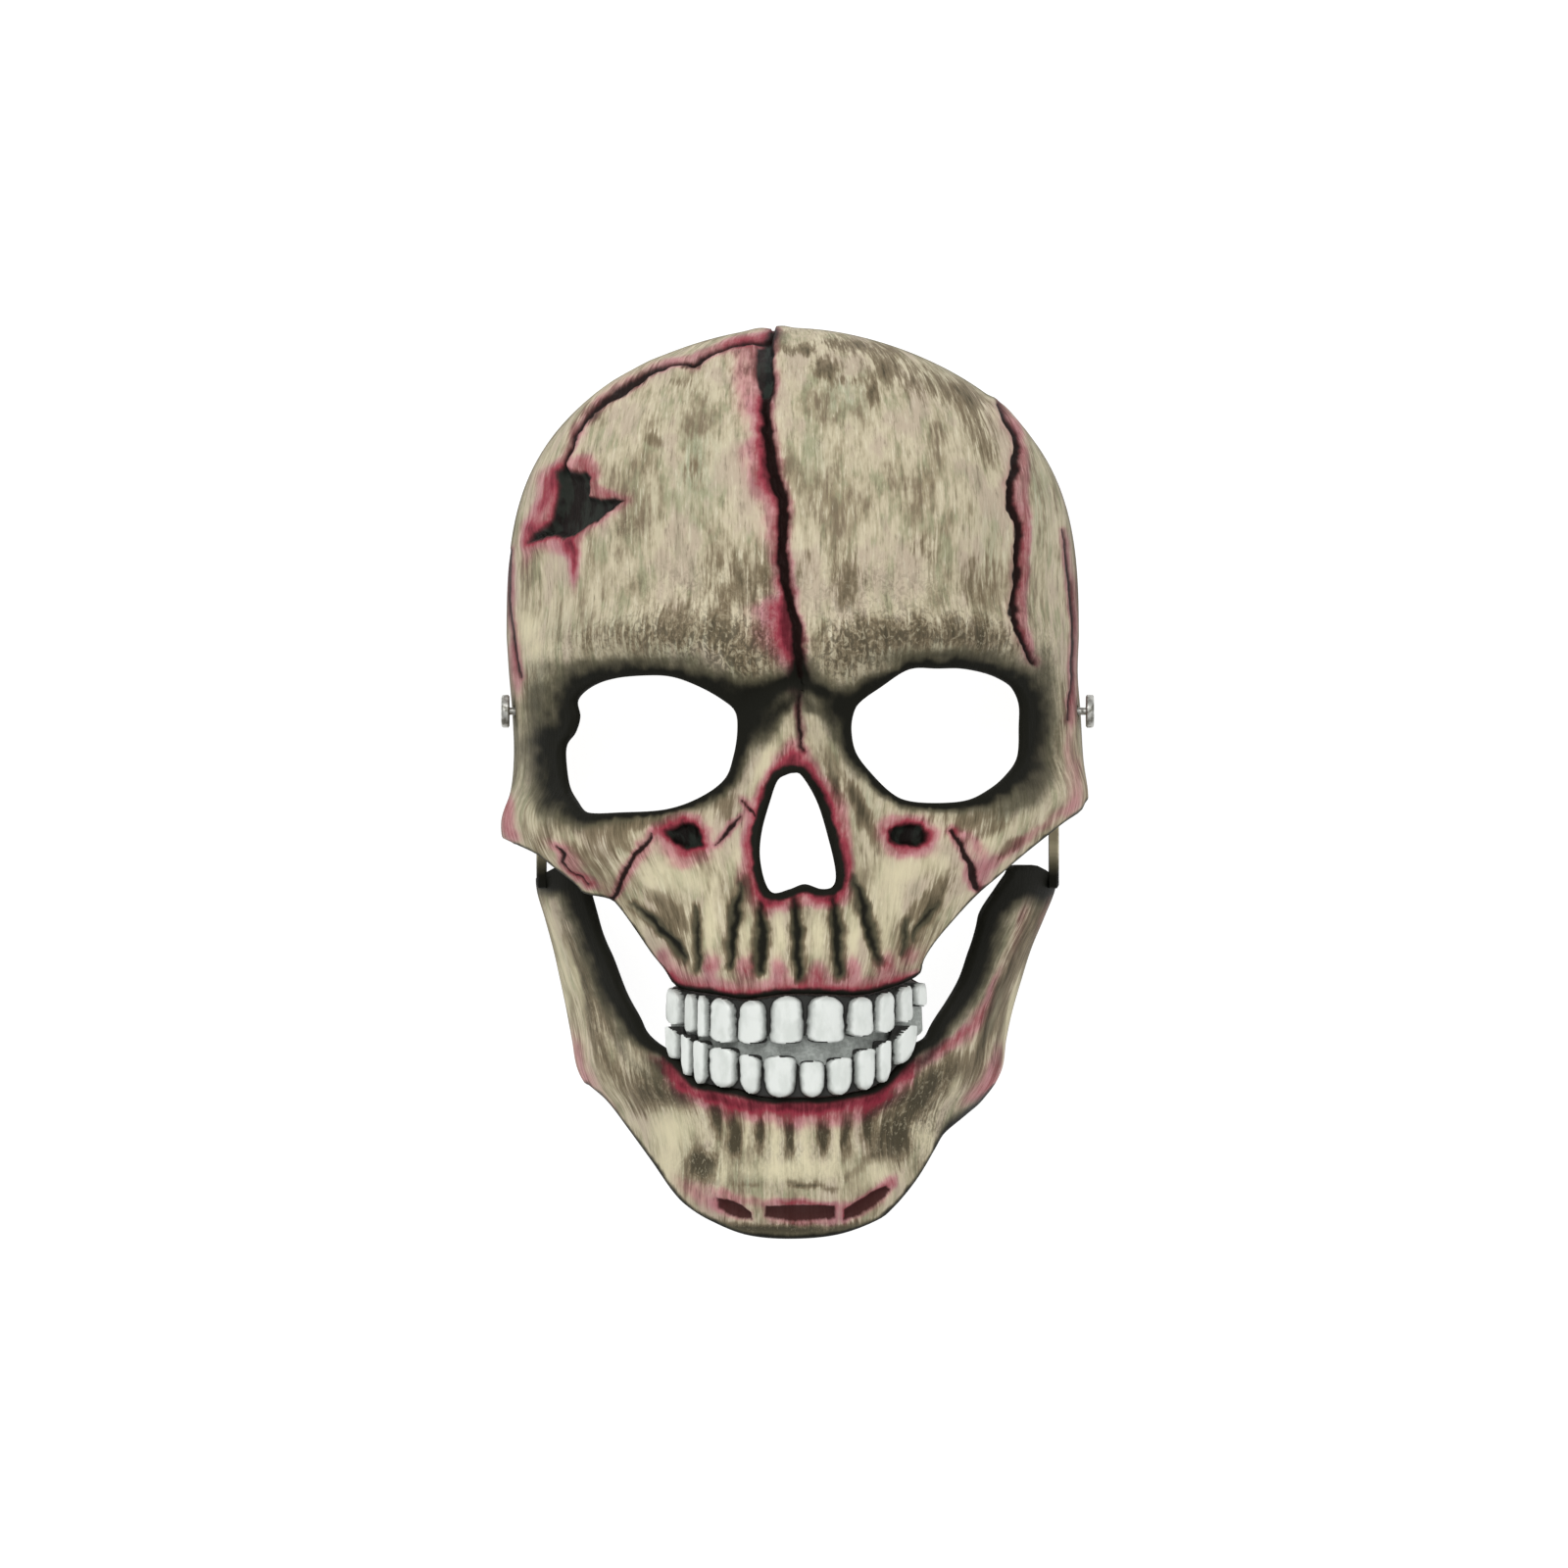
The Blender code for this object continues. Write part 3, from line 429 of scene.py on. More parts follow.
def smooth_line(points, spacing, closed):
    """Even steps along a rounded curve through the points, each run a cubic of its four neighbours."""
    before, after = points[-1:], points[:2]
    if not closed:
        before, after = 2 * points[:1] - points[1:2], 2 * points[-1:] - points[-2:-1]
    points = np.vstack([before, points, after])
    t = np.linspace(0, 1, 16, endpoint=False)[:, None]
    runs = []
    for a, b, c, d in zip(points, points[1:], points[2:], points[3:]):
        square, cube = 2 * a - 5 * b + 4 * c - d, 3 * b - a - 3 * c + d
        runs.append(b + ((c - a) * t + square * t ** 2 + cube * t ** 3) / 2)
    return even_steps(np.vstack(runs + [points[-2:-1]]), spacing)[: -1 if closed else None]


def even_steps(line, spacing):
    """The same line with its corners moved to even steps."""
    way = np.concatenate([[0], np.cumsum(np.linalg.norm(np.diff(line, axis=0), axis=1))])
    at = np.linspace(0, way[-1], max(int(round(way[-1] / spacing)), 8) + 1)
    return np.stack([np.interp(at, way, line[:, 0]), np.interp(at, way, line[:, 1])], axis=1)


def distance_to(ring, points, closed=True):
    """Shortest way from points to a line."""
    best = np.full(len(points), 1e9)
    for a, b in zip(ring, np.roll(ring, -1, axis=0) if closed else ring[1:]):
        t = np.clip((points - a) @ (b - a) / ((b - a) @ (b - a)), 0, 1)
        best = np.minimum(best, ((points - a - t[:, None] * (b - a)) ** 2).sum(axis=1))
    return np.sqrt(best)


def inside(ring, points):
    """True for the points inside a closed line."""
    result = np.zeros(len(points), bool)
    for a, b in zip(ring, np.roll(ring, -1, axis=0)):
        if a[1] != b[1]:
            spans = (a[1] > points[:, 1]) != (b[1] > points[:, 1])
            result ^= spans & (points[:, 0] < a[0] + (points[:, 1] - a[1]) / (b[1] - a[1]) * (b[0] - a[0]))
    return result


def offset_rows(low, high, spacing):
    """Even grid of points, every other row moved by half a step."""
    rows = np.arange(low[1], high[1], spacing * math.sqrt(3) / 2)
    grid = np.stack(np.meshgrid(np.arange(low[0], high[0] + spacing, spacing), rows), axis=-1)
    grid[1::2, :, 0] += spacing / 2
    return grid.reshape(-1, 2)


def fill(rim, holes, spacing, busy=None):
    """Flat pattern filled with an even grid, finer where busy says so, joined to the rim and the holes."""
    low, high = rim.min(axis=0), rim.max(axis=0)
    lines = [rim] + holes
    parts = []
    for size in (spacing, 0.5 * spacing) if busy else (spacing,):
        grid = offset_rows(low, high, size)
        grid = grid[inside(rim, grid)]
        for hole in holes:
            grid = grid[~inside(hole, grid)]
        if busy:
            grid = grid[busy(grid) == (size < spacing)]
        for line in lines:
            box_low, box_high = line.min(axis=0) - size, line.max(axis=0) + size
            near = (grid > box_low).all(axis=1) & (grid < box_high).all(axis=1)
            gap = np.full(len(grid), 1.0)
            gap[near] = distance_to(line, grid[near])
            grid = grid[gap > 0.62 * size]
        parts.append(grid)
    grid = np.vstack(parts)
    points = np.vstack(lines + [grid])
    edges, start = [], 0
    for line in lines:
        edges += [(start + i, start + (i + 1) % len(line)) for i in range(len(line))]
        start += len(line)
    faces = delaunay_2d_cdt([Vector(p) for p in points.tolist()], edges, [], 0, 1e-9)[2]
    faces = np.array([face for face in faces if len(face) == 3])
    loose = (faces < start).all(axis=1)
    middle = points[faces[loose]].mean(axis=1)
    good = inside(rim, middle)
    for hole in holes:
        good &= ~inside(hole, middle)
    keep = np.ones(len(faces), bool)
    keep[loose] = good
    faces = faces[keep]
    a, b, c = (points[faces[:, i]] for i in range(3))
    turn = (b - a)[:, 0] * (c - a)[:, 1] - (b - a)[:, 1] * (c - a)[:, 0]
    return points, np.where((turn > 0)[:, None], faces, faces[:, ::-1]), start


def skin(name, body, front_flat, back_flat, front_bend, back_bend, materials, sharp=50):
    """Closed thin wall: fine painted front, plain back, and a strip between them round every edge."""
    flat, faces, rim = front_flat
    rear, rear_faces, _ = back_flat
    front, fields = front_bend(flat)
    back = back_bend(rear)
    count = len(front)
    sides = np.vstack([faces[:, [0, 1]], faces[:, [1, 2]], faces[:, [2, 0]]])
    code = sides[:, 0] * count + sides[:, 1]
    edge = sides[~np.isin(code, sides[:, 1] * count + sides[:, 0])]
    a, b = edge[:, 0], edge[:, 1]
    walls = np.vstack([np.stack([b, a, a + count], axis=1), np.stack([b, a + count, b + count], axis=1)])
    triangles = np.vstack([faces, walls, rear_faces[:, ::-1] + count])
    mesh = bpy.data.meshes.new(name)
    mesh.from_pydata(np.vstack([front, back]).tolist(), [], triangles.tolist())
    for field, value in fields.items():
        if field == "flat":
            value = np.column_stack([value, 0 * value[:, 0]])
        data = np.zeros((count + len(back),) + value.shape[1:])
        data[:count] = value
        data[count:count + rim] = value[:rim]
        kind, slot = ("FLOAT", "value") if data.ndim == 1 else ("FLOAT_VECTOR", "vector")
        mesh.attributes.new(field, kind, "POINT").data.foreach_set(slot, data.ravel())
    for material in materials:
        mesh.materials.append(material)
    kind = np.zeros(len(triangles), int)
    kind[len(faces) + len(walls):] = len(materials) - 1
    mesh.polygons.foreach_set("material_index", kind)
    mesh.shade_smooth()
    mesh.set_sharp_from_angle(angle=math.radians(sharp))
    piece = placed(name, mesh)
    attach(piece, body)
    return piece


def rise(forms, place):
    """Sum of soft rises and hollows, each high * exp(-(across^2 + along^2)), fading to the back rim."""
    total = np.zeros(len(place))
    for name, x, y, reach_x, reach_y, high in forms:
        across = (place[:, 0] / HALF_WIDTH - x) / reach_x
        along = (place[:, 1] / HALF_HEIGHT - y) / reach_y
        total += DEPTH * high * np.exp(-(across ** 2 + along ** 2))
    return total * np.clip(place[:, 2] / (0.25 * DEPTH), 0, 1)


def step(value, start, end):
    """Soft run from 0 at start to 1 at end."""
    t = np.clip((value - start) / (end - start), 0, 1)
    return t * t * (3 - 2 * t)


def strokes(seen, rows):
    """Gap in points to a drawn line whose half width changes along it, and the side of it.

    The side is 1 to the left of a line drawn down the picture and -1 to its right.
    """
    rows = np.array(rows, float)
    gap, side = np.full(len(seen), 1e3), np.zeros(len(seen))
    for a, b in zip(rows, rows[1:]):
        way, off = b[:2] - a[:2], seen - a[:2]
        t = np.clip(off @ way / (way @ way), 0, 1)
        far = np.linalg.norm(off - t[:, None] * way, axis=1) - a[2] - t * (b[2] - a[2])
        side = np.where(far < gap, np.sign(way[0] * off[:, 1] - way[1] * off[:, 0]), side)
        gap = np.minimum(far, gap)
    return gap, side


def spots(seen, rows, firm=1.4):
    """Soft airbrushed spots laid over one another, each strength * exp(-r^(2 firm))."""
    clear = np.ones(len(seen))
    for x, y, half_x, half_y, tilt, strength in rows:
        cos, sin = math.cos(math.radians(tilt)), math.sin(math.radians(tilt))
        off = seen - (x, y)
        across = (off[:, 0] * cos + off[:, 1] * sin) / half_x
        along = (off[:, 1] * cos - off[:, 0] * sin) / half_y
        clear *= 1 - strength * np.exp(-((across ** 2 + along ** 2) ** firm))
    return 1 - clear


def lumps(seen, size, seed):
    """Soft random value from -1 to 1, smoothly joined between the corners of a grid of a size."""
    table = np.random.default_rng(seed).uniform(-1, 1, (64, 64))
    cell = np.floor(seen / size).astype(int)
    t = seen / size - cell
    t = t * t * (3 - 2 * t)
    a, b, c, d = (table[(cell[:, 0] + i) % 64, (cell[:, 1] + j) % 64] for j in (0, 1) for i in (0, 1))
    x, y = t[:, 0], t[:, 1]
    return (a * (1 - x) + b * x) * (1 - y) + (c * (1 - x) + d * x) * y


def ragged(seen, reach, seed):
    """Picture places pushed about a little, so that painted edges aren't even."""
    across, down = (
        lumps(seen, 13, first) + 0.7 * lumps(seen, 6, first + 1) + 0.4 * lumps(seen, 3.3, first + 2)
        for first in (seed, seed + 3)
    )
    return seen + reach * np.stack([across, down], axis=1)


def halo(gap, reach, power):
    """Softness round a line, exp(-(gap / reach)^power), and 1 inside it."""
    return np.exp(-(np.maximum(gap, 0) / reach) ** power)


def band(gap, middle, reach):
    """Soft band at some gap from a line, exp(-((gap - middle) / reach)^2)."""
    return np.exp(-((gap - middle) / reach) ** 2)


def cut_edge(gap):
    """Softened edge of the moulding: 1 at the edge, falling as a square to 0 within a reach."""
    return np.clip(1 - gap / SOFT_EDGE, 0, 1) ** 2


def aimed(form, section, line):
    """Flat pattern places at which the sculpted wall passes through a line seen from the front."""
    aim = line.copy()
    for _ in range(5):
        aim += line - form(flat_front(section, aim))[0][:, :2]
    return flat_front(section, aim)


def along(rows, value):
    """Columns of a table read smoothly at some values of its first column."""
    rows = np.array(rows, float)
    return [np.interp(value, rows[:, 0], rows[:, column]) for column in range(1, rows.shape[1])]


def ring_gap(seen, rings):
    """Gap to the nearest of some closed outlines, less than nothing inside."""
    gap = np.full(len(seen), 1e3)
    for ring in rings:
        ring = np.array(ring, float)
        gap = np.minimum(gap, distance_to(ring, seen) * np.where(inside(ring, seen), -1, 1))
    return gap


# columns: place, width share, height share, half widths share, half heights share, rise share of depth
FACE_FORMS = [
    ("left brow", -0.48, 0.315, 0.31, 0.065, 0.046),
    ("right brow", 0.48, 0.322, 0.31, 0.065, 0.046),
    ("left inner brow", -0.20, 0.265, 0.10, 0.060, 0.031),
    ("right inner brow", 0.21, 0.275, 0.10, 0.060, 0.031),
    ("brow middle", 0.00, 0.300, 0.17, 0.070, 0.026),
    ("nose root", 0.00, 0.205, 0.12, 0.045, -0.036),
    ("nose bridge top", 0.00, 0.130, 0.095, 0.055, 0.051),
    ("nose bridge", 0.00, 0.060, 0.105, 0.055, 0.082),
    ("nose bridge end", 0.00, 0.005, 0.120, 0.050, 0.082),
    ("left nose wall", -0.140, -0.110, 0.060, 0.110, 0.046),
    ("right nose wall", 0.150, -0.115, 0.060, 0.110, 0.046),
    ("left nose foot", -0.150, -0.215, 0.070, 0.055, 0.031),
    ("right nose foot", 0.160, -0.215, 0.070, 0.055, 0.031),
    ("nose spine", 0.00, -0.260, 0.09, 0.035, 0.041),
    ("left cheekbone", -0.660, -0.105, 0.18, 0.080, 0.051),
    ("right cheekbone", 0.660, -0.080, 0.18, 0.080, 0.051),
    ("left cheek arch", -0.880, -0.070, 0.16, 0.055, 0.026),
    ("right cheek arch", 0.880, -0.025, 0.16, 0.055, 0.026),
    ("left hollow", -0.340, -0.210, 0.11, 0.090, -0.036),
    ("right hollow", 0.350, -0.200, 0.11, 0.090, -0.036),
    ("left nerve pit", -0.395, -0.125, 0.070, 0.036, -0.026),
    ("right nerve pit", 0.385, -0.120, 0.075, 0.032, -0.026),
    ("left temple", -0.870, 0.400, 0.09, 0.130, -0.026),
    ("right temple", 0.870, 0.400, 0.09, 0.130, -0.026),
    ("left forehead", -0.43, 0.570, 0.32, 0.170, 0.026),
    ("right forehead", 0.43, 0.570, 0.32, 0.170, 0.026),
    ("wound", -0.735, 0.600, 0.095, 0.070, -0.031),
    ("tooth root band", 0.00, -0.370, 0.38, 0.060, 0.015),
]

LOWER_EDGE = metres([
    (1112, 818), (1106, 828), (1088, 840), (1063, 859), (1041, 877), (1020, 895), (999, 913), (979, 934),
    (956, 961), (944, 980), (941, 992), (930, 1000), (910, 1007), (880, 1014), (840, 1013), (800, 1013),
    (760, 1018), (730, 1014), (700, 1010), (686, 1004), (676, 989), (663, 973), (646, 948), (630, 926),
    (620, 918), (595, 913), (586, 904), (565, 888), (545, 873), (524, 863),
])
LEFT_EYE = metres([
    (584, 715), (600, 701), (625, 693), (661, 690), (687, 692), (714, 702), (737, 715), (750, 727),
    (752, 747), (748, 772), (739, 795), (714, 813), (679, 825), (634, 828), (598, 828), (584, 815),
    (575, 801), (571, 776), (572, 760), (581, 748), (586, 732),
])
RIGHT_EYE = metres([
    (878, 717), (899, 702), (928, 684), (958, 683), (985, 683), (1012, 688), (1031, 696), (1040, 704),
    (1046, 719), (1046, 740), (1044, 772), (1030, 792), (1012, 806), (990, 816), (958, 819), (928, 817),
    (910, 809), (890, 790), (874, 769), (869, 747), (871, 729),
])
NOSE_HOLE = metres([
    (810, 789), (818, 792), (834, 818), (846, 856), (853, 889), (850, 903), (838, 906), (821, 901),
    (806, 906), (789, 910), (780, 898), (775, 873), (777, 847), (785, 818), (793, 797), (802, 791),
])

# Cracks, columns: across, down, half width
MIDDLE_CRACK = [
    (790, 338, 2.3), (786, 350, 3.9), (785, 404, 3.9), (781, 420, 3.1), (783, 440, 3.6), (788, 470, 4.2),
    (792, 494, 4.4), (800, 518, 4.4), (798, 550, 4.5), (800, 586, 4.2), (805, 612, 3.7), (812, 640, 3.9),
    (815, 665, 3.9), (817, 690, 2.3),
]
CRACK_RECESS = [
    (770, 352), (788, 345), (792, 360), (791, 385), (788, 404), (779, 405), (772, 392), (769, 370),
]
LEFT_CRACK = [
    (786, 346, 0.8), (767, 350, 0.6), (747, 355, 0.5), (730, 361, 0.6), (717, 367, 1.3), (709, 375, 1.9),
    (700, 373, 0.6), (686, 373, 0.7), (668, 378, 1.6), (652, 389, 3.2), (634, 399, 4.0), (618, 410, 3.0),
    (606, 420, 1.6), (594, 435, 1.1), (587, 449, 0.9), (582, 465, 1.0), (578, 482, 1.3),
]
RIGHT_CRACK = [
    (1018, 412, 0.4), (1025, 427, 1.3), (1035, 445, 2.2), (1037, 462, 2.7), (1034, 482, 3.0),
    (1029, 502, 3.2), (1030, 516, 3.3), (1036, 536, 3.0), (1037, 556, 2.7), (1035, 582, 2.4),
    (1034, 606, 2.3), (1032, 630, 2.2), (1035, 645, 1.7), (1043, 660, 1.4), (1053, 676, 0.7),
]
FINE_CRACKS = [
    [
        (1085, 540, 0.3), (1088, 560, 0.6), (1093, 598, 1.0),
        (1096, 640, 0.8), (1095, 690, 0.6), (1090, 735, 0.3),
    ],
    [(519, 560, 0.3), (518, 610, 0.4), (523, 650, 0.7), (530, 690, 0.3)],
    [(815, 712, 0.3), (814, 724, 0.6), (816, 745, 0.9), (818, 768, 0.6)],
    [(666, 850, 0.6), (658, 862, 1.7), (645, 878, 1.8), (635, 896, 1.7), (625, 915, 1.8)],
    [(970, 846, 0.8), (980, 863, 2.0), (988, 878, 2.8), (991, 890, 3.6), (995, 905, 2.8)],
    [(757, 816, 0.8), (766, 826, 0.8), (772, 834, 0.3)],
    [(755, 833, 0.6), (745, 845, 1.6), (738, 855, 0.9), (732, 862, 0.3)],
    [(568, 864, 0.5), (576, 872, 2.0), (573, 880, 0.8), (586, 890, 0.5), (602, 902, 0.3)],
]
# Red left of the middle crack, columns: down, reach, strength
MIDDLE_RED = [
    (336, 10, 0.45), (350, 16, 0.62), (395, 15, 0.60), (412, 11, 0.85), (445, 8, 0.90), (462, 13, 1.00),
    (495, 12, 1.00), (512, 11, 0.75), (548, 10, 0.50), (585, 5, 0.45), (608, 8, 0.70), (622, 18, 1.00),
    (660, 18, 1.00), (685, 9, 0.60),
]
WOUND = [
    (569, 484), (577, 479), (588, 484), (600, 481), (604, 488), (602, 497), (600, 506), (613, 511),
    (626, 510), (638, 513), (629, 521), (614, 531), (603, 536), (594, 543), (587, 549), (576, 550),
    (566, 546), (556, 549), (540, 553), (546, 545), (556, 538), (563, 532), (567, 520), (571, 508),
    (571, 496),
]
NERVE_PITS = [
    [
        (681, 848), (686, 843), (698, 839), (709, 842), (715, 851),
        (718, 861), (702, 866), (692, 861), (685, 857),
    ],
    [
        (906, 850), (912, 844), (924, 842), (938, 843), (946, 849),
        (944, 857), (934, 862), (920, 862), (909, 858),
    ],
]
# Dark airbrushing out from the eye holes, columns: turn in degrees from the right, reach in picture points
LEFT_EYE_MIDDLE, RIGHT_EYE_MIDDLE = (655, 762), (958, 752)
LEFT_EYE_SHADE = [
    (-180, 33), (-160, 31), (-140, 22), (-120, 11), (-95, 6), (-60, 7), (-35, 10), (0, 14), (25, 26),
    (45, 18), (70, 11), (95, 12), (120, 16), (140, 27), (160, 33), (180, 33),
]
RIGHT_EYE_SHADE = [
    (-180, 12), (-150, 8), (-120, 7), (-90, 8), (-60, 12), (-35, 19), (-15, 21), (0, 22), (25, 22), (45, 18),
    (70, 13), (95, 10), (120, 8), (150, 15), (180, 12),
]
# Airbrushed spots, and in DARK_SPOTS two bands of painted shade under the brows, at 640, 676 and 950, 670;
# columns: across, down, half width, half height, tilt, strength
DARK_SPOTS = [
    (552, 760, 12, 46, -4, 0.4), (546, 712, 10, 26, 10, 0.32), (558, 822, 12, 22, -24, 0.4),
    (776, 712, 22, 15, 16, 0.97), (797, 700, 24, 12, -30, 0.97), (817, 690, 12, 22, 0, 0.98),
    (838, 705, 22, 12, 30, 0.96), (858, 722, 16, 15, 0, 0.96), (772, 736, 14, 22, 24, 0.8),
    (800, 722, 24, 7, -42, 0.7), (786, 742, 9, 20, 28, 0.55), (846, 735, 8, 24, -24, 0.6),
    (868, 762, 8, 26, -8, 0.55), (815, 742, 7, 26, 0, 0.55), (826, 722, 14, 6, 44, 0.6),
    (756, 768, 8, 22, 10, 0.4), (1062, 735, 16, 50, 0, 0.5), (1064, 680, 14, 24, -16, 0.35),
    (1058, 800, 16, 26, 24, 0.45), (1030, 826, 30, 9, -30, 0.4), (640, 676, 90, 7, -3, 0.4),
    (950, 670, 80, 8, -2, 0.45), (530, 868, 22, 5, 24, 0.6), (744, 700, 26, 8, 28, 0.55),
    (884, 700, 22, 8, -30, 0.5), (792, 345, 10, 8, 0, 0.55), (870, 905, 5, 14, -12, 0.5),
    (764, 905, 5, 16, 8, 0.4),
]
BROWN_SPOTS = [
    (640, 650, 60, 16, 0, 0.3), (714, 640, 52, 24, 12, 0.45), (768, 664, 26, 24, 0, 0.42),
    (864, 660, 28, 26, 0, 0.5), (920, 648, 56, 18, -6, 0.55), (996, 650, 44, 18, 4, 0.5),
    (705, 480, 8, 16, 8, 0.36), (667, 448, 9, 10, 0, 0.42), (640, 397, 38, 6, -34, 0.8),
    (606, 424, 12, 8, -50, 0.6), (705, 376, 12, 4, 0, 0.7), (737, 578, 22, 26, 0, 0.3),
    (770, 590, 18, 26, 0, 0.37), (748, 608, 30, 16, 0, 0.27), (843, 376, 14, 12, -20, 0.55),
    (816, 358, 20, 7, 0, 0.45), (890, 404, 7, 16, 0, 0.62), (905, 376, 9, 10, 0, 0.42),
    (860, 392, 20, 7, -14, 0.3), (942, 560, 18, 16, 0, 0.32), (998, 592, 22, 26, 6, 0.4),
    (862, 592, 20, 30, 0, 0.35), (822, 580, 10, 26, 0, 0.29), (985, 402, 30, 10, 32, 0.32),
    (797, 776, 7, 32, 24, 0.34), (846, 782, 6, 30, -18, 0.4), (872, 812, 7, 24, -24, 0.55),
    (884, 838, 6, 26, -14, 0.35), (660, 838, 50, 8, 4, 0.5), (630, 846, 20, 14, 0, 0.4),
    (744, 826, 8, 20, 30, 0.45), (996, 836, 36, 8, -24, 0.5), (960, 834, 30, 8, 0, 0.42),
    (556, 854, 12, 18, 30, 0.36), (618, 876, 16, 18, 24, 0.34), (604, 858, 9, 22, 10, 0.32),
    (682, 928, 10, 20, -30, 0.45), (764, 896, 7, 22, 4, 0.45), (871, 915, 6, 20, -10, 0.5),
    (948, 918, 9, 16, 30, 0.55), (966, 902, 9, 26, 26, 0.4), (930, 932, 6, 14, 24, 0.5),
    (1024, 868, 20, 6, -38, 0.3), (540, 700, 10, 26, 8, 0.28), (1086, 720, 5, 60, 0, 0.3),
    (800, 640, 5, 26, -16, 0.3), (700, 392, 16, 6, 0, 0.3), (600, 846, 26, 10, 10, 0.30),
    (636, 862, 14, 10, 30, 0.34), (590, 868, 14, 7, 20, 0.30), (930, 385, 60, 20, 24, 0.36),
    (1000, 440, 16, 44, -20, 0.34), (870, 352, 40, 8, 4, 0.4), (716, 876, 10, 16, 20, 0.34),
    (1010, 846, 30, 8, -24, 0.45), (1030, 862, 14, 6, -30, 0.4), (948, 886, 10, 16, -20, 0.3),
    (752, 790, 8, 22, 28, 0.5), (738, 812, 10, 16, 30, 0.4), (852, 800, 5, 26, -10, 0.6),
    (878, 830, 7, 22, -20, 0.5), (690, 940, 16, 12, 30, 0.4), (672, 916, 14, 8, 36, 0.45),
    (726, 906, 6, 16, 0, 0.3),
]
PALE_SPOTS = [
    (538, 640, 18, 26, 0, 0.65), (552, 664, 22, 11, -22, 0.5), (758, 420, 10, 50, 0, 0.34),
    (812, 430, 6, 60, -3, 0.35), (850, 470, 9, 60, 0, 0.34), (812, 520, 7, 60, -4, 0.45),
    (930, 612, 30, 12, 0, 0.34), (1066, 470, 9, 46, -18, 0.4), (1060, 570, 8, 70, 0, 0.4),
    (784, 772, 9, 28, 30, 0.85), (770, 800, 7, 18, 26, 0.55), (828, 770, 7, 24, -18, 0.55),
    (848, 776, 7, 26, -14, 0.5), (838, 752, 6, 16, -20, 0.4), (866, 848, 6, 34, -6, 0.6),
    (874, 880, 5, 26, -6, 0.5), (750, 880, 7, 34, 0, 0.6), (700, 892, 36, 22, 16, 0.7),
    (668, 896, 20, 20, 30, 0.55), (727, 945, 7, 38, -2, 0.9), (762, 958, 6, 32, -2, 0.9),
    (795, 955, 7, 34, 0, 0.85), (834, 955, 8, 34, 0, 0.88), (869, 952, 7, 32, -2, 0.9),
    (903, 958, 8, 30, -8, 0.92), (704, 955, 5, 26, 0, 0.4), (900, 900, 20, 36, 0, 0.62),
    (928, 885, 26, 16, -10, 0.66), (957, 880, 14, 16, -30, 0.55), (596, 878, 12, 9, 10, 0.4),
    (590, 896, 20, 6, 24, 0.45), (1008, 862, 24, 12, -36, 0.6), (1040, 838, 20, 8, -36, 0.4),
    (548, 835, 7, 26, -16, 0.5), (1076, 812, 8, 20, 10, 0.45), (734, 876, 8, 24, 8, 0.45),
    (652, 930, 3, 40, -48, 0.62), (1072, 720, 5, 60, 0, 0.4), (532, 740, 5, 60, 0, 0.34),
    (912, 925, 8, 24, 4, 0.5), (986, 915, 8, 20, 36, 0.45),
]
GREEN_SPOTS = [
    (710, 480, 24, 56, 0, 0.9), (650, 520, 20, 30, 0, 0.4), (860, 408, 22, 22, 0, 0.9),
    (830, 470, 14, 30, 0, 0.5), (1012, 550, 14, 36, 0, 0.7), (1058, 500, 14, 60, 0, 0.7),
    (960, 380, 20, 14, 0, 0.4), (600, 640, 60, 14, 0, 0.4), (690, 660, 50, 20, 0, 0.6),
    (940, 662, 60, 16, 0, 0.5), (545, 690, 20, 30, 0, 0.6), (690, 900, 26, 16, 0, 0.5),
    (915, 900, 16, 26, 0, 0.5), (540, 800, 12, 40, 0, 0.5), (624, 866, 20, 12, 0, 0.5),
    (884, 808, 10, 40, -10, 0.6), (1020, 840, 40, 10, -30, 0.5), (752, 846, 12, 20, 0, 0.5),
]
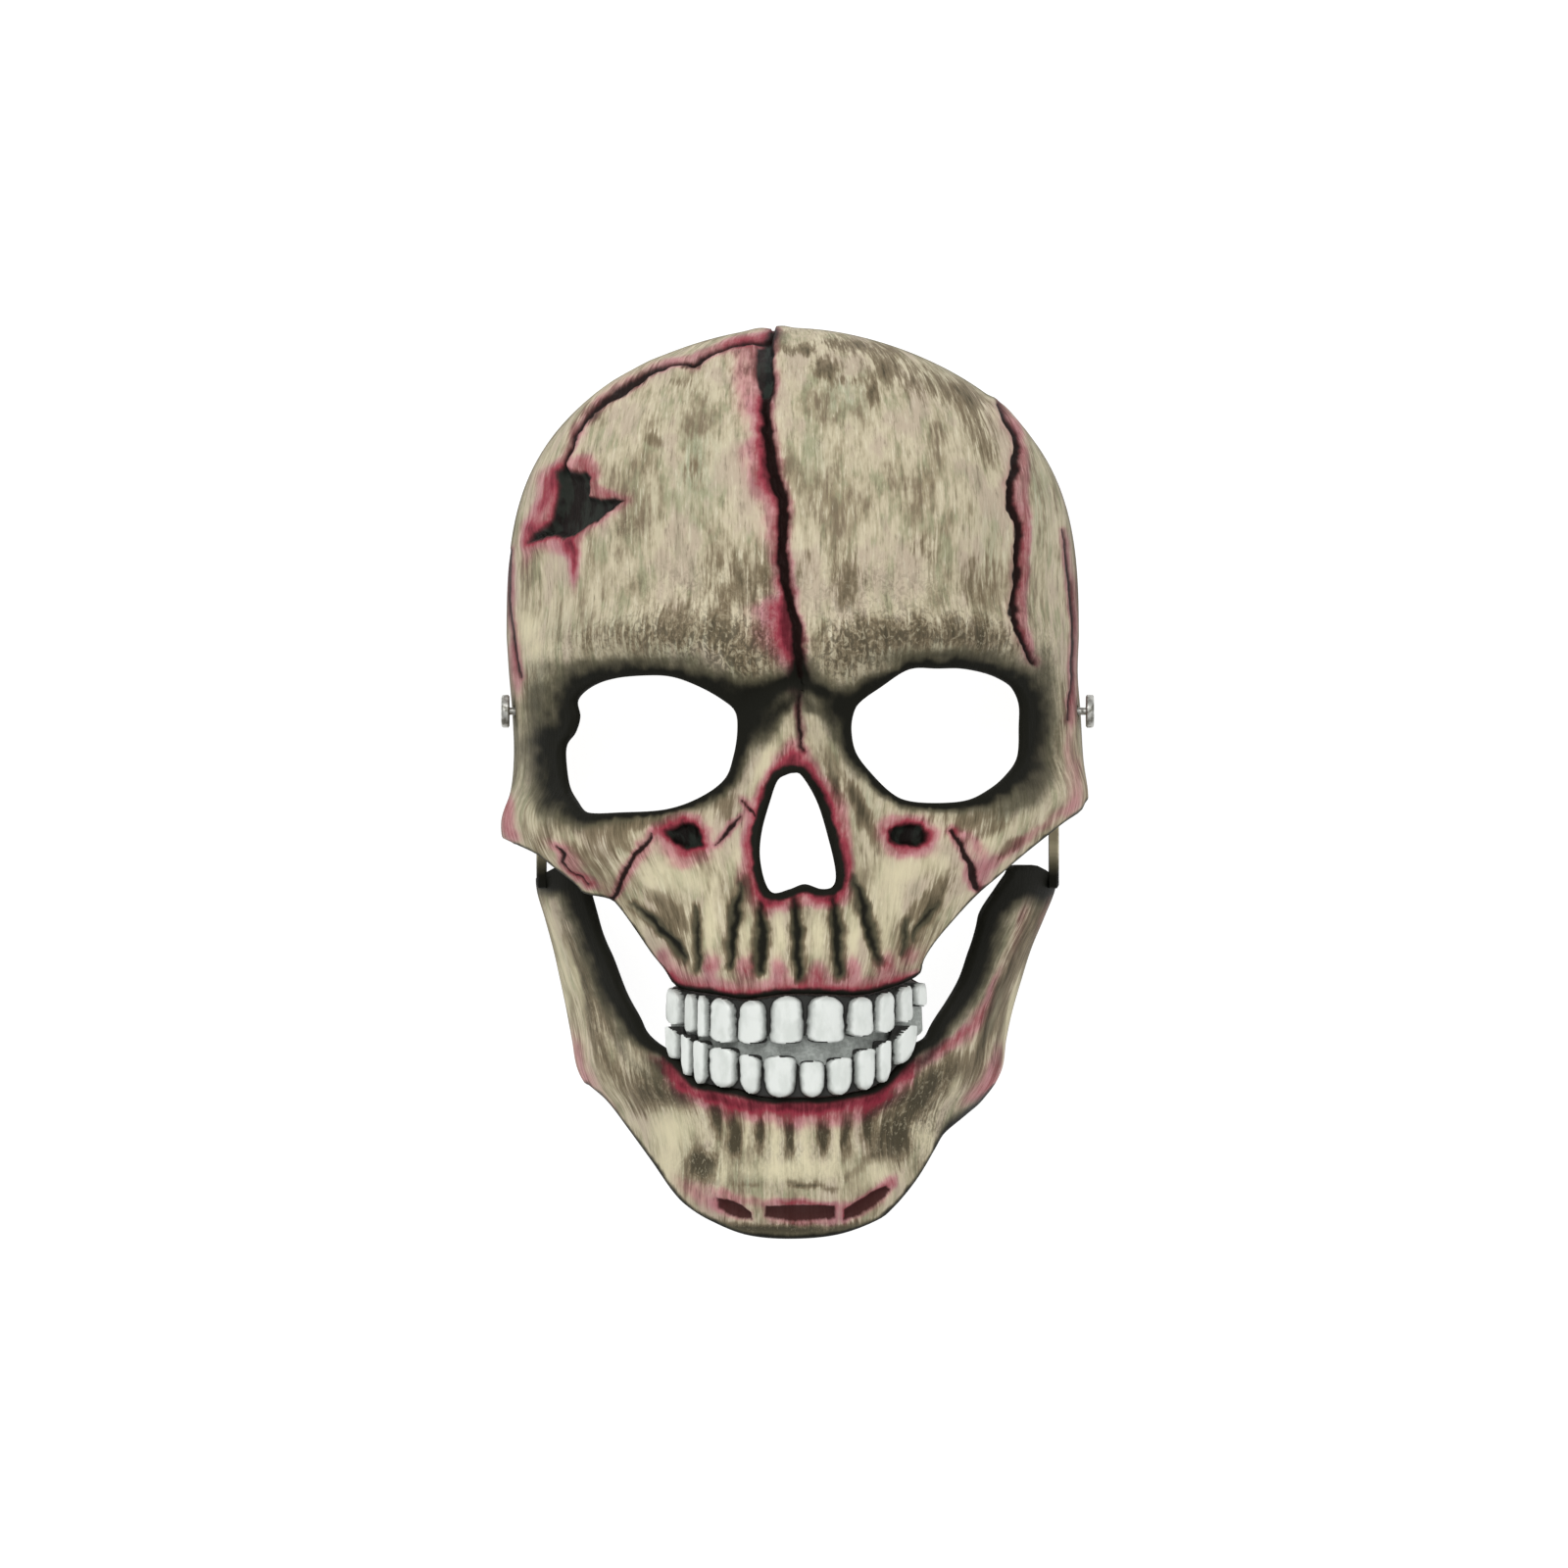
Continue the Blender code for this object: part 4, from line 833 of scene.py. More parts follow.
RED_SPOTS = [
    (555, 512, 9, 26, 24, 0.8), (542, 538, 10, 10, 0, 0.75), (560, 490, 14, 12, 30, 0.52),
    (596, 472, 12, 8, 0, 0.5), (606, 486, 6, 12, 0, 0.44), (583, 558, 8, 14, -8, 0.95),
    (586, 576, 5, 22, 0, 0.8), (570, 560, 12, 8, 10, 0.36), (538, 566, 6, 18, 10, 0.32),
    (612, 502, 10, 5, 20, 0.36), (622, 505, 10, 4, 0, 0.28), (762, 346, 26, 5, -12, 0.44),
    (745, 352, 20, 4, -14, 0.32), (700, 366, 24, 4, -14, 0.28), (755, 385, 8, 34, 0, 0.27),
    (806, 648, 10, 30, 0, 0.4), (1046, 505, 5, 40, 0, 0.44), (1046, 560, 5, 40, 0, 0.4),
    (1043, 610, 5, 34, 0, 0.4), (1048, 660, 7, 16, 0, 0.34), (1040, 430, 7, 12, 20, 0.27),
    (1100, 622, 5, 50, 0, 0.27), (1096, 712, 6, 44, 0, 0.32), (1090, 770, 5, 30, 0, 0.28),
    (521, 600, 4, 34, 0, 0.28), (524, 675, 7, 24, 0, 0.5), (528, 700, 6, 16, 0, 0.32),
    (809, 775, 15, 11, 0, 0.92), (796, 786, 16, 8, -42, 0.59), (826, 788, 15, 8, 48, 0.54),
    (808, 762, 7, 10, 0, 0.5), (782, 806, 11, 9, -62, 0.34), (768, 836, 7, 16, 0, 0.36),
    (762, 872, 7, 34, 4, 0.4), (768, 908, 9, 18, -20, 0.48), (792, 922, 18, 6, 8, 0.56),
    (824, 920, 22, 6, 0, 0.48), (850, 916, 14, 9, -16, 0.56), (864, 890, 6, 26, 6, 0.48),
    (864, 855, 5, 26, -4, 0.48), (856, 825, 6, 20, -10, 0.4), (844, 806, 9, 14, -36, 0.28),
    (780, 928, 8, 10, 0, 0.4), (700, 872, 20, 7, 8, 0.5), (672, 848, 7, 7, 0, 0.44),
    (722, 862, 5, 12, 0, 0.32), (694, 882, 14, 5, 4, 0.28), (898, 848, 6, 9, 0, 0.4),
    (924, 836, 22, 4, -4, 0.36), (924, 870, 20, 5, 0, 0.4), (952, 850, 6, 7, 0, 0.48),
    (650, 882, 6, 22, 36, 0.34), (972, 848, 7, 6, 30, 0.56), (994, 862, 7, 14, -30, 0.36),
    (1003, 888, 8, 20, 0, 0.32), (982, 850, 10, 6, 20, 0.32), (984, 892, 5, 10, 0, 0.32),
    (516, 836, 9, 22, -8, 0.53), (522, 852, 12, 8, 34, 0.4), (518, 820, 6, 10, 0, 0.4),
    (566, 862, 14, 7, 14, 0.32), (584, 878, 14, 10, 30, 0.34), (598, 898, 22, 6, 26, 0.36),
    (1098, 812, 9, 18, 8, 0.29), (1088, 826, 18, 7, -34, 0.27), (1052, 852, 34, 5, -36, 0.34),
    (1018, 876, 26, 6, -40, 0.36), (1100, 784, 6, 16, 0, 0.27), (688, 988, 14, 12, 34, 0.4),
    (676, 975, 8, 10, 40, 0.34), (727, 984, 9, 12, 0, 0.6), (762, 986, 9, 13, 0, 0.6),
    (795, 988, 9, 12, 0, 0.6), (834, 992, 10, 12, 0, 0.6), (869, 988, 10, 13, 0, 0.6),
    (903, 984, 11, 13, 0, 0.6), (930, 974, 14, 12, -24, 0.38),
]
SPECK_SPOTS = [
    (600, 655, 60, 18, -8, 0.45), (690, 652, 66, 26, 6, 0.85), (756, 660, 44, 34, 18, 0.95),
    (788, 610, 16, 34, 0, 0.3), (866, 664, 44, 36, -20, 0.95), (930, 646, 66, 22, -4, 0.85),
    (1006, 654, 46, 22, 8, 0.75), (1068, 690, 12, 44, 0, 0.55), (556, 700, 26, 22, -20, 0.4),
    (1040, 620, 20, 20, 0, 0.25), (700, 596, 80, 22, 0, 0.3), (900, 600, 100, 24, 0, 0.34),
    (752, 682, 30, 14, 20, 0.6), (1076, 780, 10, 50, 0, 0.4), (640, 540, 16, 12, 0, 0.4),
]
# Hollows between the tooth roots, columns: across, down, half width
ROOT_GROOVES = [
    [(712, 926, 0.5), (712, 945, 2.6), (712, 965, 3.0), (713, 988, 1.6)],
    [(757, 898, 1.0), (753, 918, 3.6), (750, 940, 5.0), (748, 962, 4.6), (745, 986, 2.4)],
    [(776, 922, 2.0), (777, 940, 4.8), (777, 962, 5.2), (776, 990, 3.4)],
    [(812, 916, 2.4), (813, 940, 4.6), (814, 965, 4.8), (815, 996, 3.2)],
    [(850, 916, 2.0), (852, 936, 4.6), (854, 962, 5.0), (856, 992, 3.2)],
    [(872, 894, 0.8), (877, 912, 3.2), (883, 934, 4.2), (889, 956, 4.0), (896, 980, 2.2)],
    [(924, 938, 1.0), (924, 952, 2.2), (921, 972, 1.0)],
    [(646, 922, 0.8), (660, 933, 3.2), (676, 948, 4.4), (690, 962, 4.4), (699, 978, 2.4)],
    [(957, 922, 0.8), (948, 930, 2.6), (938, 944, 2.4), (932, 956, 1.0)],
]


def shell_form(flat):
    """Broad sculpted form with the eye sockets sunk straight back, and its outward directions."""
    place, out = bent(face_section, flat)
    socket = np.minimum(distance_to(LEFT_EYE, place[:, :2]), distance_to(RIGHT_EYE, place[:, :2]))
    lift = rise(FACE_FORMS, place)
    place[:, 2] -= SOCKET_DEPTH * band(socket, 0, SOCKET_REACH) * np.clip(place[:, 2] / 0.03, 0, 1)
    place = place + out * lift[:, None]
    # The crown ends in a small peak on the left of the middle crack
    peak = band(place[:, 0], -0.0110, 0.0045) * step(place[:, 1], 0.1360, 0.1396)
    place[:, 1] += PEAK_HEIGHT * peak * (place[:, 0] < -0.0082)
    return place, out


eye_lines = [smooth_line(line, LINE_STEP, True) for line in (LEFT_EYE, RIGHT_EYE)]
nose_line = smooth_line(NOSE_HOLE, LINE_STEP, True)
low_line = smooth_line(LOWER_EDGE, LINE_STEP, False)
crown_arc = flat_arc(np.array([HALF_HEIGHT]))[0]
left_arc = np.linspace(-0.124 * HALF_HEIGHT, crown_arc, 300)
right_arc = np.linspace(-0.032 * HALF_HEIGHT, crown_arc, 280)[:-1][::-1]
left_rim = flat_turn(face_section, np.full(300, -math.pi / 2), arc_height(left_arc))
right_rim = flat_turn(face_section, np.full(279, math.pi / 2), arc_height(right_arc))
back_rim = even_steps(np.vstack([left_rim, right_rim]), SHELL_GRID)
shell_rim = np.vstack([aimed(shell_form, face_section, low_line), back_rim])
round_turn = np.linspace(0, 2 * math.pi, 24, endpoint=False)
pivot_ring = PIVOT_HOLE * np.stack([np.sin(round_turn), np.cos(round_turn)], axis=1) + PIVOT
shell_holes = [aimed(shell_form, face_section, line) for line in eye_lines + [nose_line]]
shell_holes += [flat_side(face_section, side, pivot_ring) for side in (-1, 1)]


def shell_busy(flat):
    """True near cracks, pits and edges, where the shell needs a finer grid."""
    place = shell_form(flat)[0]
    seen = in_picture(place)
    lines = [MIDDLE_CRACK, LEFT_CRACK, RIGHT_CRACK] + FINE_CRACKS + ROOT_GROOVES
    gaps = [strokes(seen, row)[0] for row in lines]
    gap = np.min(gaps + [ring_gap(seen, NERVE_PITS + [WOUND, CRACK_RECESS])], axis=0)
    edges = [distance_to(line[::3], place[:, :2]) for line in eye_lines + [nose_line]]
    edges.append(distance_to(low_line[::3], place[:, :2], False))
    return (gap < 7) | (np.min(edges, axis=0) < 0.0022)


def eye_shade(seen, line, centre, rows):
    """Airbrushed darkness falling off from an eye hole, reaching further where the table says."""
    gap = distance_to(in_picture(line)[::2], seen)
    turn = np.degrees(np.arctan2(centre[1] - seen[:, 1], seen[:, 0] - centre[0]))
    reach = along(rows, turn)[0]
    gap = gap + 0.18 * reach * lumps(seen, 9, 41) + 1.2 * lumps(seen, 4, 42)
    return np.exp(-np.maximum(gap - 2, 0) ** 1.7 / reach ** 1.7)


def shell_front(flat):
    """Sculpted and painted outside: cracks, pits and ribs laid over the broad form."""
    place, out = shell_form(flat)
    seen = in_picture(place)
    facing = np.clip(out[:, 2:] / 0.5, 0, 1)
    rough = seen + (ragged(seen, 1.7, 11) - seen) * facing
    eyes = np.minimum.reduce([distance_to(line[::2], place[:, :2]) for line in eye_lines])
    nose = distance_to(nose_line[::2], place[:, :2])
    edge = distance_to(low_line[::2], place[:, :2], False)
    middle, middle_side = strokes(rough, MIDDLE_CRACK)
    left = strokes(rough, LEFT_CRACK)[0]
    right, right_side = strokes(rough, RIGHT_CRACK)
    fine = np.min([strokes(rough, row)[0] for row in FINE_CRACKS], axis=0)
    wound, pits, recess = (ring_gap(rough, rings) for rings in ([WOUND], NERVE_PITS, [CRACK_RECESS]))
    grooves = np.min([strokes(rough, row)[0] for row in ROOT_GROOVES], axis=0)
    lift = -0.0014 * step(-middle, -2, 4) - 0.0013 * step(-left, -2, 4) - 0.0012 * step(-right, -2, 4)
    lift -= 0.0006 * step(-fine, -2.5, 2) + 0.0016 * step(-recess, -3, 6)
    lift -= 0.0010 * halo(middle, 16, 2) * (middle_side > 0)
    lift += 0.0007 * band(middle, 8, 8) * (middle_side < 0)
    lift += 0.0008 * band(left, 6, 6) + 0.0007 * band(right, 6, 6)
    lift -= 0.0022 * step(-wound, -1, 7) + 0.0020 * step(-pits, -2, 5)
    lift += 0.0007 * band(wound, 6, 6) + 0.0006 * band(pits, 7, 6)
    roots = step(seen[:, 1], 905, 930) * step(-seen[:, 1], -1004, -985)
    roots = roots * step(-np.abs(seen[:, 0] - 808), -112, -90)
    lift += roots * (0.0008 - 0.0016 * step(-grooves, -6, 4))
    lift -= 0.0007 * step(-grooves, -3, 4) * (1 - roots)
    lift -= EDGE_FALL * cut_edge(np.minimum.reduce([eyes, nose, edge]))
    lift = np.maximum(lift, -DEEPEST)
    eyes, nose, edge = eyes / POINT, nose / POINT, edge / POINT
    low_edge = step(seen[:, 1], 984, 998)
    wobble = lumps(seen, 11, 51) + 0.6 * lumps(seen, 5, 52)
    clear = 1 - spots(rough, DARK_SPOTS, 1.0)
    for veil in (
        0.99 * eye_shade(seen, eye_lines[0], LEFT_EYE_MIDDLE, LEFT_EYE_SHADE),
        0.99 * eye_shade(seen, eye_lines[1], RIGHT_EYE_MIDDLE, RIGHT_EYE_SHADE),
        0.99 * (1 - step(nose + 1.6 * wobble, 5.5, 11)),
        (0.80 + 0.19 * low_edge) * (1 - step(edge + 0.9 * wobble, 2.0, 6.0 + 3.0 * low_edge)),
        0.50 * halo(middle, 4, 2),
        0.45 * halo(np.minimum(left, right), 3, 2),
        0.30 * halo(fine, 3, 2),
        # Painted shade in the root hollows between the ribs
        0.86 * halo(grooves + 4, 5, 2),
        # Painted shade: darker where the wall turns down towards the floor at the sides and crown
        0.55 * band(place[:, 2], 0, 0.020),
        0.35 * (1 - step(np.minimum(wound, pits), 0, 4)),
    ):
        clear *= 1 - veil
    reach, strength = along(MIDDLE_RED, seen[:, 1])
    near = np.maximum(middle + 1.5 * wobble, 0) / 1.5
    pink = 1 - spots(rough, RED_SPOTS, 1.0)
    for veil in (
        strength * halo(near, reach, 1.6) * (middle_side > 0) * (np.abs(middle) < 60),
        0.60 * halo(near, 3.5, 1.5),
        0.55 * halo(left + wobble, 5, 1.5),
        0.60 * halo(right + wobble, 7, 1.5) * (0.45 + 0.55 * (right_side < 0)),
        0.50 * halo(fine + wobble, 4, 1.5),
        0.97 * halo(pits + wobble, 8, 1.4),
        (0.55 + 0.30 * (seen[:, 0] < 574)) * halo(wound + wobble, 7, 1.4),
        (0.78 + 0.22 * lumps(seen, 16, 53)) * band(nose + 1.6 * wobble, 8, 7 + 2 * lumps(seen, 22, 54)),
        low_edge * (0.70 + 0.18 * wobble) * band(edge + 1.2 * wobble, 4.5, 6),
        low_edge * 0.34 * band(edge + 2.0 * wobble, 11, 9),
    ):
        pink *= 1 - veil
    # Painted highlight: a pale line along the raised edge left of the right crack
    crack_edge_highlight = 0.55 * band(right, 2.5, 2) * (right_side > 0)
    fields = {
        "dark": 1 - clear,
        "red": 1 - pink,
        # Brown in the root hollows: brown stain and painted shade
        "brown": 1 - (1 - spots(rough, BROWN_SPOTS, 1.2)) * (1 - 0.95 * halo(grooves + 3, 6.5, 2)),
        "pale": 1 - (1 - spots(rough, PALE_SPOTS, 1.2)) * (1 - crack_edge_highlight),
        "green": spots(rough, GREEN_SPOTS, 1.0),
        "speck": spots(rough, SPECK_SPOTS, 1.0),
        "line": np.minimum.reduce([middle, left, right, fine]),
        "pit": np.minimum.reduce([wound, pits, recess + 1.5]) / 2.5,
        "flat": flat,
    }
    return place + out * lift[:, None], fields


bone = bone_paint("painted bone", (0.011, 0.006, 0.005))
inside_plastic = Paint("bare plastic inside", roughness=0.55)
inside_cloud = inside_plastic.noise(0.012).ramp(0.35, 0.65)
inside_plastic.colour(inside_plastic.mix((0.56, 0.53, 0.46), (0.47, 0.44, 0.38), inside_cloud))
inside_plastic.bump(inside_plastic.noise(0.003), 0.0003)
skull = skin(
    "skull", "face",
    fill(shell_rim, shell_holes, SHELL_GRID, shell_busy), fill(shell_rim, shell_holes, SHELL_BACK_GRID),
    shell_front, inside_of(shell_form, SHELL_WALL), [bone, inside_plastic.material],
)
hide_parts("skull_shell")

# Lower jaw: a moulded band round the chin, its two branches rising behind the cheeks to the rivets.
# It carries the same paint, with black inner edges, red gums and root hollows above the chin.

# columns: height share, half width share, centre share, depth share, roundness
JAW_SECTIONS = [
    (-1.060, 0.590, -0.010, 0.840, 2.2),
    (-1.000, 0.600, -0.012, 0.870, 2.2),
    (-0.930, 0.604, -0.014, 0.955, 2.2),
    (-0.845, 0.608, -0.018, 0.985, 2.2),
    (-0.770, 0.628, -0.022, 0.975, 2.2),
    (-0.705, 0.670, -0.026, 0.965, 2.2),
    (-0.670, 0.712, -0.028, 0.970, 2.2),
    (-0.640, 0.736, -0.028, 0.975, 2.2),
    (-0.570, 0.757, -0.030, 0.960, 2.2),
    (-0.500, 0.780, -0.028, 0.900, 2.2),
    (-0.440, 0.804, -0.024, 0.820, 2.2),
    (-0.370, 0.834, -0.019, 0.740, 2.2),
    (-0.300, 0.872, -0.011, 0.640, 2.35),
    (-0.240, 0.904, -0.006, 0.610, 2.6),
    (-0.180, 0.914, 0.000, 0.620, 2.9),
    (-0.120, 0.914, 0.000, 0.640, 3.0),
]
# columns: place, width share, height share, half widths share, half heights share, rise share of depth
JAW_FORMS = [
    ("chin", 0.00, -0.850, 0.22, 0.080, 0.031),
    ("left chin side", -0.300, -0.900, 0.12, 0.060, 0.020),
    ("right chin side", 0.300, -0.890, 0.12, 0.060, 0.020),
    ("chin hollow", 0.00, -0.735, 0.30, 0.040, -0.015),
    ("tooth line", 0.00, -0.675, 0.40, 0.020, 0.010),
    ("left corner", -0.690, -0.600, 0.07, 0.080, 0.015),
    ("right corner", 0.650, -0.600, 0.07, 0.080, 0.015),
]
JAW_WALL, JAW_BACK_GRID = 0.0030, 0.0025
JAW_BOTTOM = metres([
    (598, 1110), (617, 1126), (640, 1155), (663, 1185), (684, 1214), (700, 1230), (724, 1245), (760, 1259),
    (805, 1263), (855, 1259), (895, 1245), (914, 1230), (939, 1200), (957, 1171), (966, 1157), (987, 1141),
    (1007, 1126), (1019, 1110),
])
JAW_TOP = metres([
    (1062, 884), (1036, 885), (1032, 893), (1020, 909), (1006, 929), (1002, 943), (995, 968), (986, 995),
    (972, 1018), (957, 1041), (949, 1056), (936, 1064), (922, 1082), (909, 1096), (893, 1108), (872, 1113),
    (842, 1118), (780, 1118), (754, 1111), (725, 1107), (708, 1102), (695, 1087), (680, 1071), (665, 1061),
    (654, 1050), (647, 1035), (631, 1005), (619, 975), (607, 945), (598, 915), (592, 890), (566, 884),
])
# Black along the inner edge, columns: down, reach in picture points
JAW_EDGE = [
    (880, 60), (900, 46), (918, 30), (940, 26), (980, 25), (1015, 25), (1040, 22), (1060, 16), (1080, 8),
    (1096, 6), (1120, 6),
]
# Dark spots; the three at 990, 1136, at 1010, 1122 and at 968, 1150 are painted shadow in the notch at the
# jaw's right corner
JAW_DARK = [
    (560, 892, 26, 14, 0, 0.9), (1056, 900, 26, 16, 0, 0.95), (1066, 918, 12, 16, 10, 0.55),
    (672, 1086, 20, 9, 42, 0.6), (944, 1078, 20, 8, -42, 0.62), (780, 1264, 90, 10, 0, 0.85),
    (860, 1262, 50, 10, -10, 0.8), (700, 1238, 34, 7, 38, 0.75), (662, 1192, 34, 5, 54, 0.55),
    (628, 1148, 34, 5, 52, 0.55), (926, 1226, 34, 6, -50, 0.62), (960, 1182, 34, 5, -58, 0.5),
    (990, 1136, 24, 8, -36, 0.92), (1010, 1122, 14, 7, -40, 0.7), (968, 1150, 14, 7, -44, 0.6),
    (634, 1066, 8, 26, -24, 0.35), (660, 1096, 20, 6, 44, 0.35),
]
# Root hollows above the chin, sunk and stained, and the ribs between them
JAW_HOLLOWS = [
    (731, 1138, 6, 17, -8, 0.92), (750, 1152, 6.5, 21, -5, 0.92), (775, 1153, 5, 20, 0, 0.9),
    (805, 1158, 6.5, 24, 0, 0.92), (840, 1156, 5.5, 20, 4, 0.92), (863, 1154, 6, 25, 2, 0.92),
    (887, 1146, 8, 22, 0, 0.83), (903, 1150, 6, 22, 12, 0.62), (918, 1156, 13, 30, 8, 0.92),
]
JAW_RIBS = [
    (762, 1150, 5, 24, 0, 1), (790, 1154, 7, 26, 0, 1), (822, 1156, 8, 26, 0, 1), (852, 1154, 6, 24, 0, 1),
]
JAW_BROWN = JAW_HOLLOWS + [
    (748, 1166, 8, 9, 0, 0.88), (936, 1124, 18, 18, -30, 0.75), (904, 1122, 26, 9, -16, 0.62),
    (718, 1187, 17, 15, 0, 0.92), (712, 1180, 12, 10, 0, 0.5), (694, 1118, 20, 12, 30, 0.78),
    (664, 1112, 22, 14, 44, 0.69), (676, 1092, 16, 14, 40, 0.62), (652, 1130, 14, 12, 40, 0.38),
    (640, 1100, 12, 22, -20, 0.38), (760, 1206, 16, 4, 0, 0.38), (826, 1206, 18, 3.4, 0, 0.69),
    (810, 1203, 9, 3, 20, 0.62), (846, 1211, 8, 3.4, 0, 0.56), (868, 1196, 14, 5, -30, 0.43),
    (886, 1180, 14, 7, -34, 0.43), (800, 1252, 60, 6, 0, 0.88), (760, 1250, 30, 6, 14, 0.69),
    (860, 1250, 30, 6, -12, 0.62), (588, 1050, 5, 34, -10, 0.38), (604, 1060, 4, 44, -14, 0.5),
    (618, 1078, 5, 34, -18, 0.4), (596, 986, 8, 30, -16, 0.5), (616, 1034, 8, 30, -22, 0.45),
    (1022, 1060, 7, 44, 10, 0.5), (1000, 1070, 8, 34, 16, 0.56), (976, 1090, 16, 20, 24, 0.56),
    (1044, 960, 10, 50, 16, 0.56), (1022, 1010, 9, 44, 20, 0.53), (950, 1104, 18, 16, -20, 0.75),
    (580, 965, 6, 30, -12, 0.38), (786, 1132, 60, 5, 0, 0.38), (900, 1168, 16, 14, 20, 0.38),
    (1060, 940, 8, 30, 14, 0.43), (596, 1010, 5, 46, -16, 0.6), (1052, 985, 6, 50, 16, 0.5),
    (1008, 1044, 7, 34, 20, 0.6), (608, 1000, 5, 40, -18, 0.5),
]
JAW_PALE = [
    (560, 950, 8, 40, -14, 0.55), (574, 1000, 8, 44, -12, 0.66), (592, 1060, 7, 40, -12, 0.5),
    (620, 1108, 10, 34, -20, 0.5), (820, 1190, 80, 14, 0, 0.55), (688, 1152, 26, 30, 24, 0.85),
    (680, 1192, 20, 20, 40, 0.6), (762, 1160, 5, 30, 0, 0.62), (790, 1158, 6, 32, 0, 0.8),
    (822, 1160, 7, 32, 0, 0.7), (852, 1160, 5, 28, 0, 0.6), (740, 1190, 8, 30, 0, 0.5),
    (790, 1192, 60, 10, 0, 0.5), (876, 1204, 24, 10, -26, 0.55), (760, 1218, 30, 5, 0, 0.4),
    (900, 1192, 14, 16, -30, 0.5), (942, 1160, 12, 20, -34, 0.6), (1066, 950, 7, 46, 16, 0.4),
    (1042, 1030, 7, 50, 12, 0.55), (1014, 1036, 5, 34, 18, 0.45), (704, 1214, 20, 8, 38, 0.4),
    (820, 1220, 50, 3, 0, 0.4), (974, 1110, 8, 20, 24, 0.5), (1030, 1040, 5, 50, 14, 0.8),
    (588, 1000, 5, 44, -16, 0.7),
]
JAW_RED = [
    (700, 1106, 22, 6, 42, 0.69), (736, 1120, 26, 6, 18, 0.77), (770, 1126, 30, 6, 4, 0.82),
    (812, 1128, 34, 6, 0, 0.82), (856, 1124, 30, 6, -8, 0.77), (896, 1112, 26, 7, -30, 0.77),
    (926, 1090, 20, 8, -46, 0.69), (744, 1134, 8, 10, 0, 0.36), (770, 1136, 12, 10, 0, 0.44),
    (808, 1142, 14, 10, 0, 0.4), (850, 1140, 18, 9, 0, 0.44), (880, 1130, 12, 12, 0, 0.4),
    (955, 1074, 22, 7, -36, 0.6), (978, 1056, 22, 6, -40, 0.56), (998, 1040, 8, 22, 26, 0.5),
    (1012, 1008, 4, 26, 22, 0.4), (588, 1076, 9, 26, -12, 0.36), (598, 1106, 12, 16, -30, 0.34),
    (618, 1130, 18, 8, 50, 0.36), (1012, 1100, 12, 22, 12, 0.4), (1000, 1116, 22, 9, -34, 0.5),
    (1018, 1082, 6, 20, 8, 0.32), (1044, 940, 6, 44, 16, 0.27), (1072, 915, 5, 40, 16, 0.36),
    (1056, 985, 5, 36, 14, 0.27), (744, 1216, 26, 5, 18, 0.4), (708, 1214, 24, 9, 40, 0.34),
    (816, 1224, 44, 4, 2, 0.6), (882, 1220, 32, 5, -34, 0.56), (905, 1204, 10, 6, -34, 0.53),
    (672, 1082, 16, 6, 46, 0.4), (735, 1226, 14, 8, 20, 0.4), (820, 1244, 40, 3, 0, 0.27),
    (862, 1232, 10, 8, 0, 0.4),
]
JAW_GREEN = [
    (690, 1150, 30, 30, 24, 0.5), (760, 1200, 20, 12, 0, 0.9), (718, 1186, 22, 18, 0, 0.8),
    (880, 1190, 20, 16, 0, 0.5), (800, 1180, 40, 20, 0, 0.3), (574, 980, 10, 50, -12, 0.5),
    (1040, 1020, 10, 40, 12, 0.3),
]
JAW_SPECK = [
    (800, 1180, 100, 36, 0, 0.4), (930, 1140, 40, 40, 0, 0.7), (680, 1110, 40, 26, 30, 0.55),
    (718, 1184, 24, 20, 0, 0.6), (800, 1252, 70, 12, 0, 0.5), (610, 1040, 14, 50, -20, 0.4),
    (960, 1100, 26, 26, 0, 0.5),
]
CHIN_SLOTS = [
    [(732, 1220), (744, 1222), (757, 1227), (766, 1234), (767, 1240), (756, 1240), (744, 1236), (735, 1230)],
    [
        (782, 1228), (800, 1227), (820, 1227), (838, 1227), (851, 1228),
        (851, 1240), (838, 1241), (820, 1242), (796, 1241), (782, 1238),
    ],
    [
        (861, 1231), (874, 1223), (888, 1214), (903, 1208), (908, 1211),
        (900, 1220), (888, 1229), (874, 1237), (861, 1241),
    ],
]


def jaw_section(height):
    """Half width, centre, depth and roundness of the jaw."""
    return sections(JAW_SECTIONS, height)


def jaw_form(flat):
    """Broad sculpted form of the jaw and its outward directions."""
    place, out = bent(jaw_section, flat)
    return place + out * rise(JAW_FORMS, place)[:, None], out


jaw_top = smooth_line(JAW_TOP, LINE_STEP, False)
jaw_low = smooth_line(JAW_BOTTOM, LINE_STEP, False)
rear = np.linspace(-0.640, -0.215, 60) * HALF_HEIGHT
jaw_rim = np.vstack([
    aimed(jaw_form, jaw_section, jaw_top),
    flat_turn(jaw_section, np.full(60, -math.pi / 2), rear[::-1]),
    aimed(jaw_form, jaw_section, jaw_low),
    flat_turn(jaw_section, np.full(60, math.pi / 2), rear),
])


def jaw_busy(flat):
    """True near the chin slots, the root hollows and the edges."""
    place = jaw_form(flat)[0]
    seen = in_picture(place)
    edges = [distance_to(line[::3], place[:, :2], False) for line in (jaw_top, jaw_low)]
    front = (np.abs(seen[:, 0] - 810) < 130) & (seen[:, 1] > 1115) & (seen[:, 1] < 1200)
    return (ring_gap(seen, CHIN_SLOTS) < 7) | (np.min(edges, axis=0) < 0.0020) | front


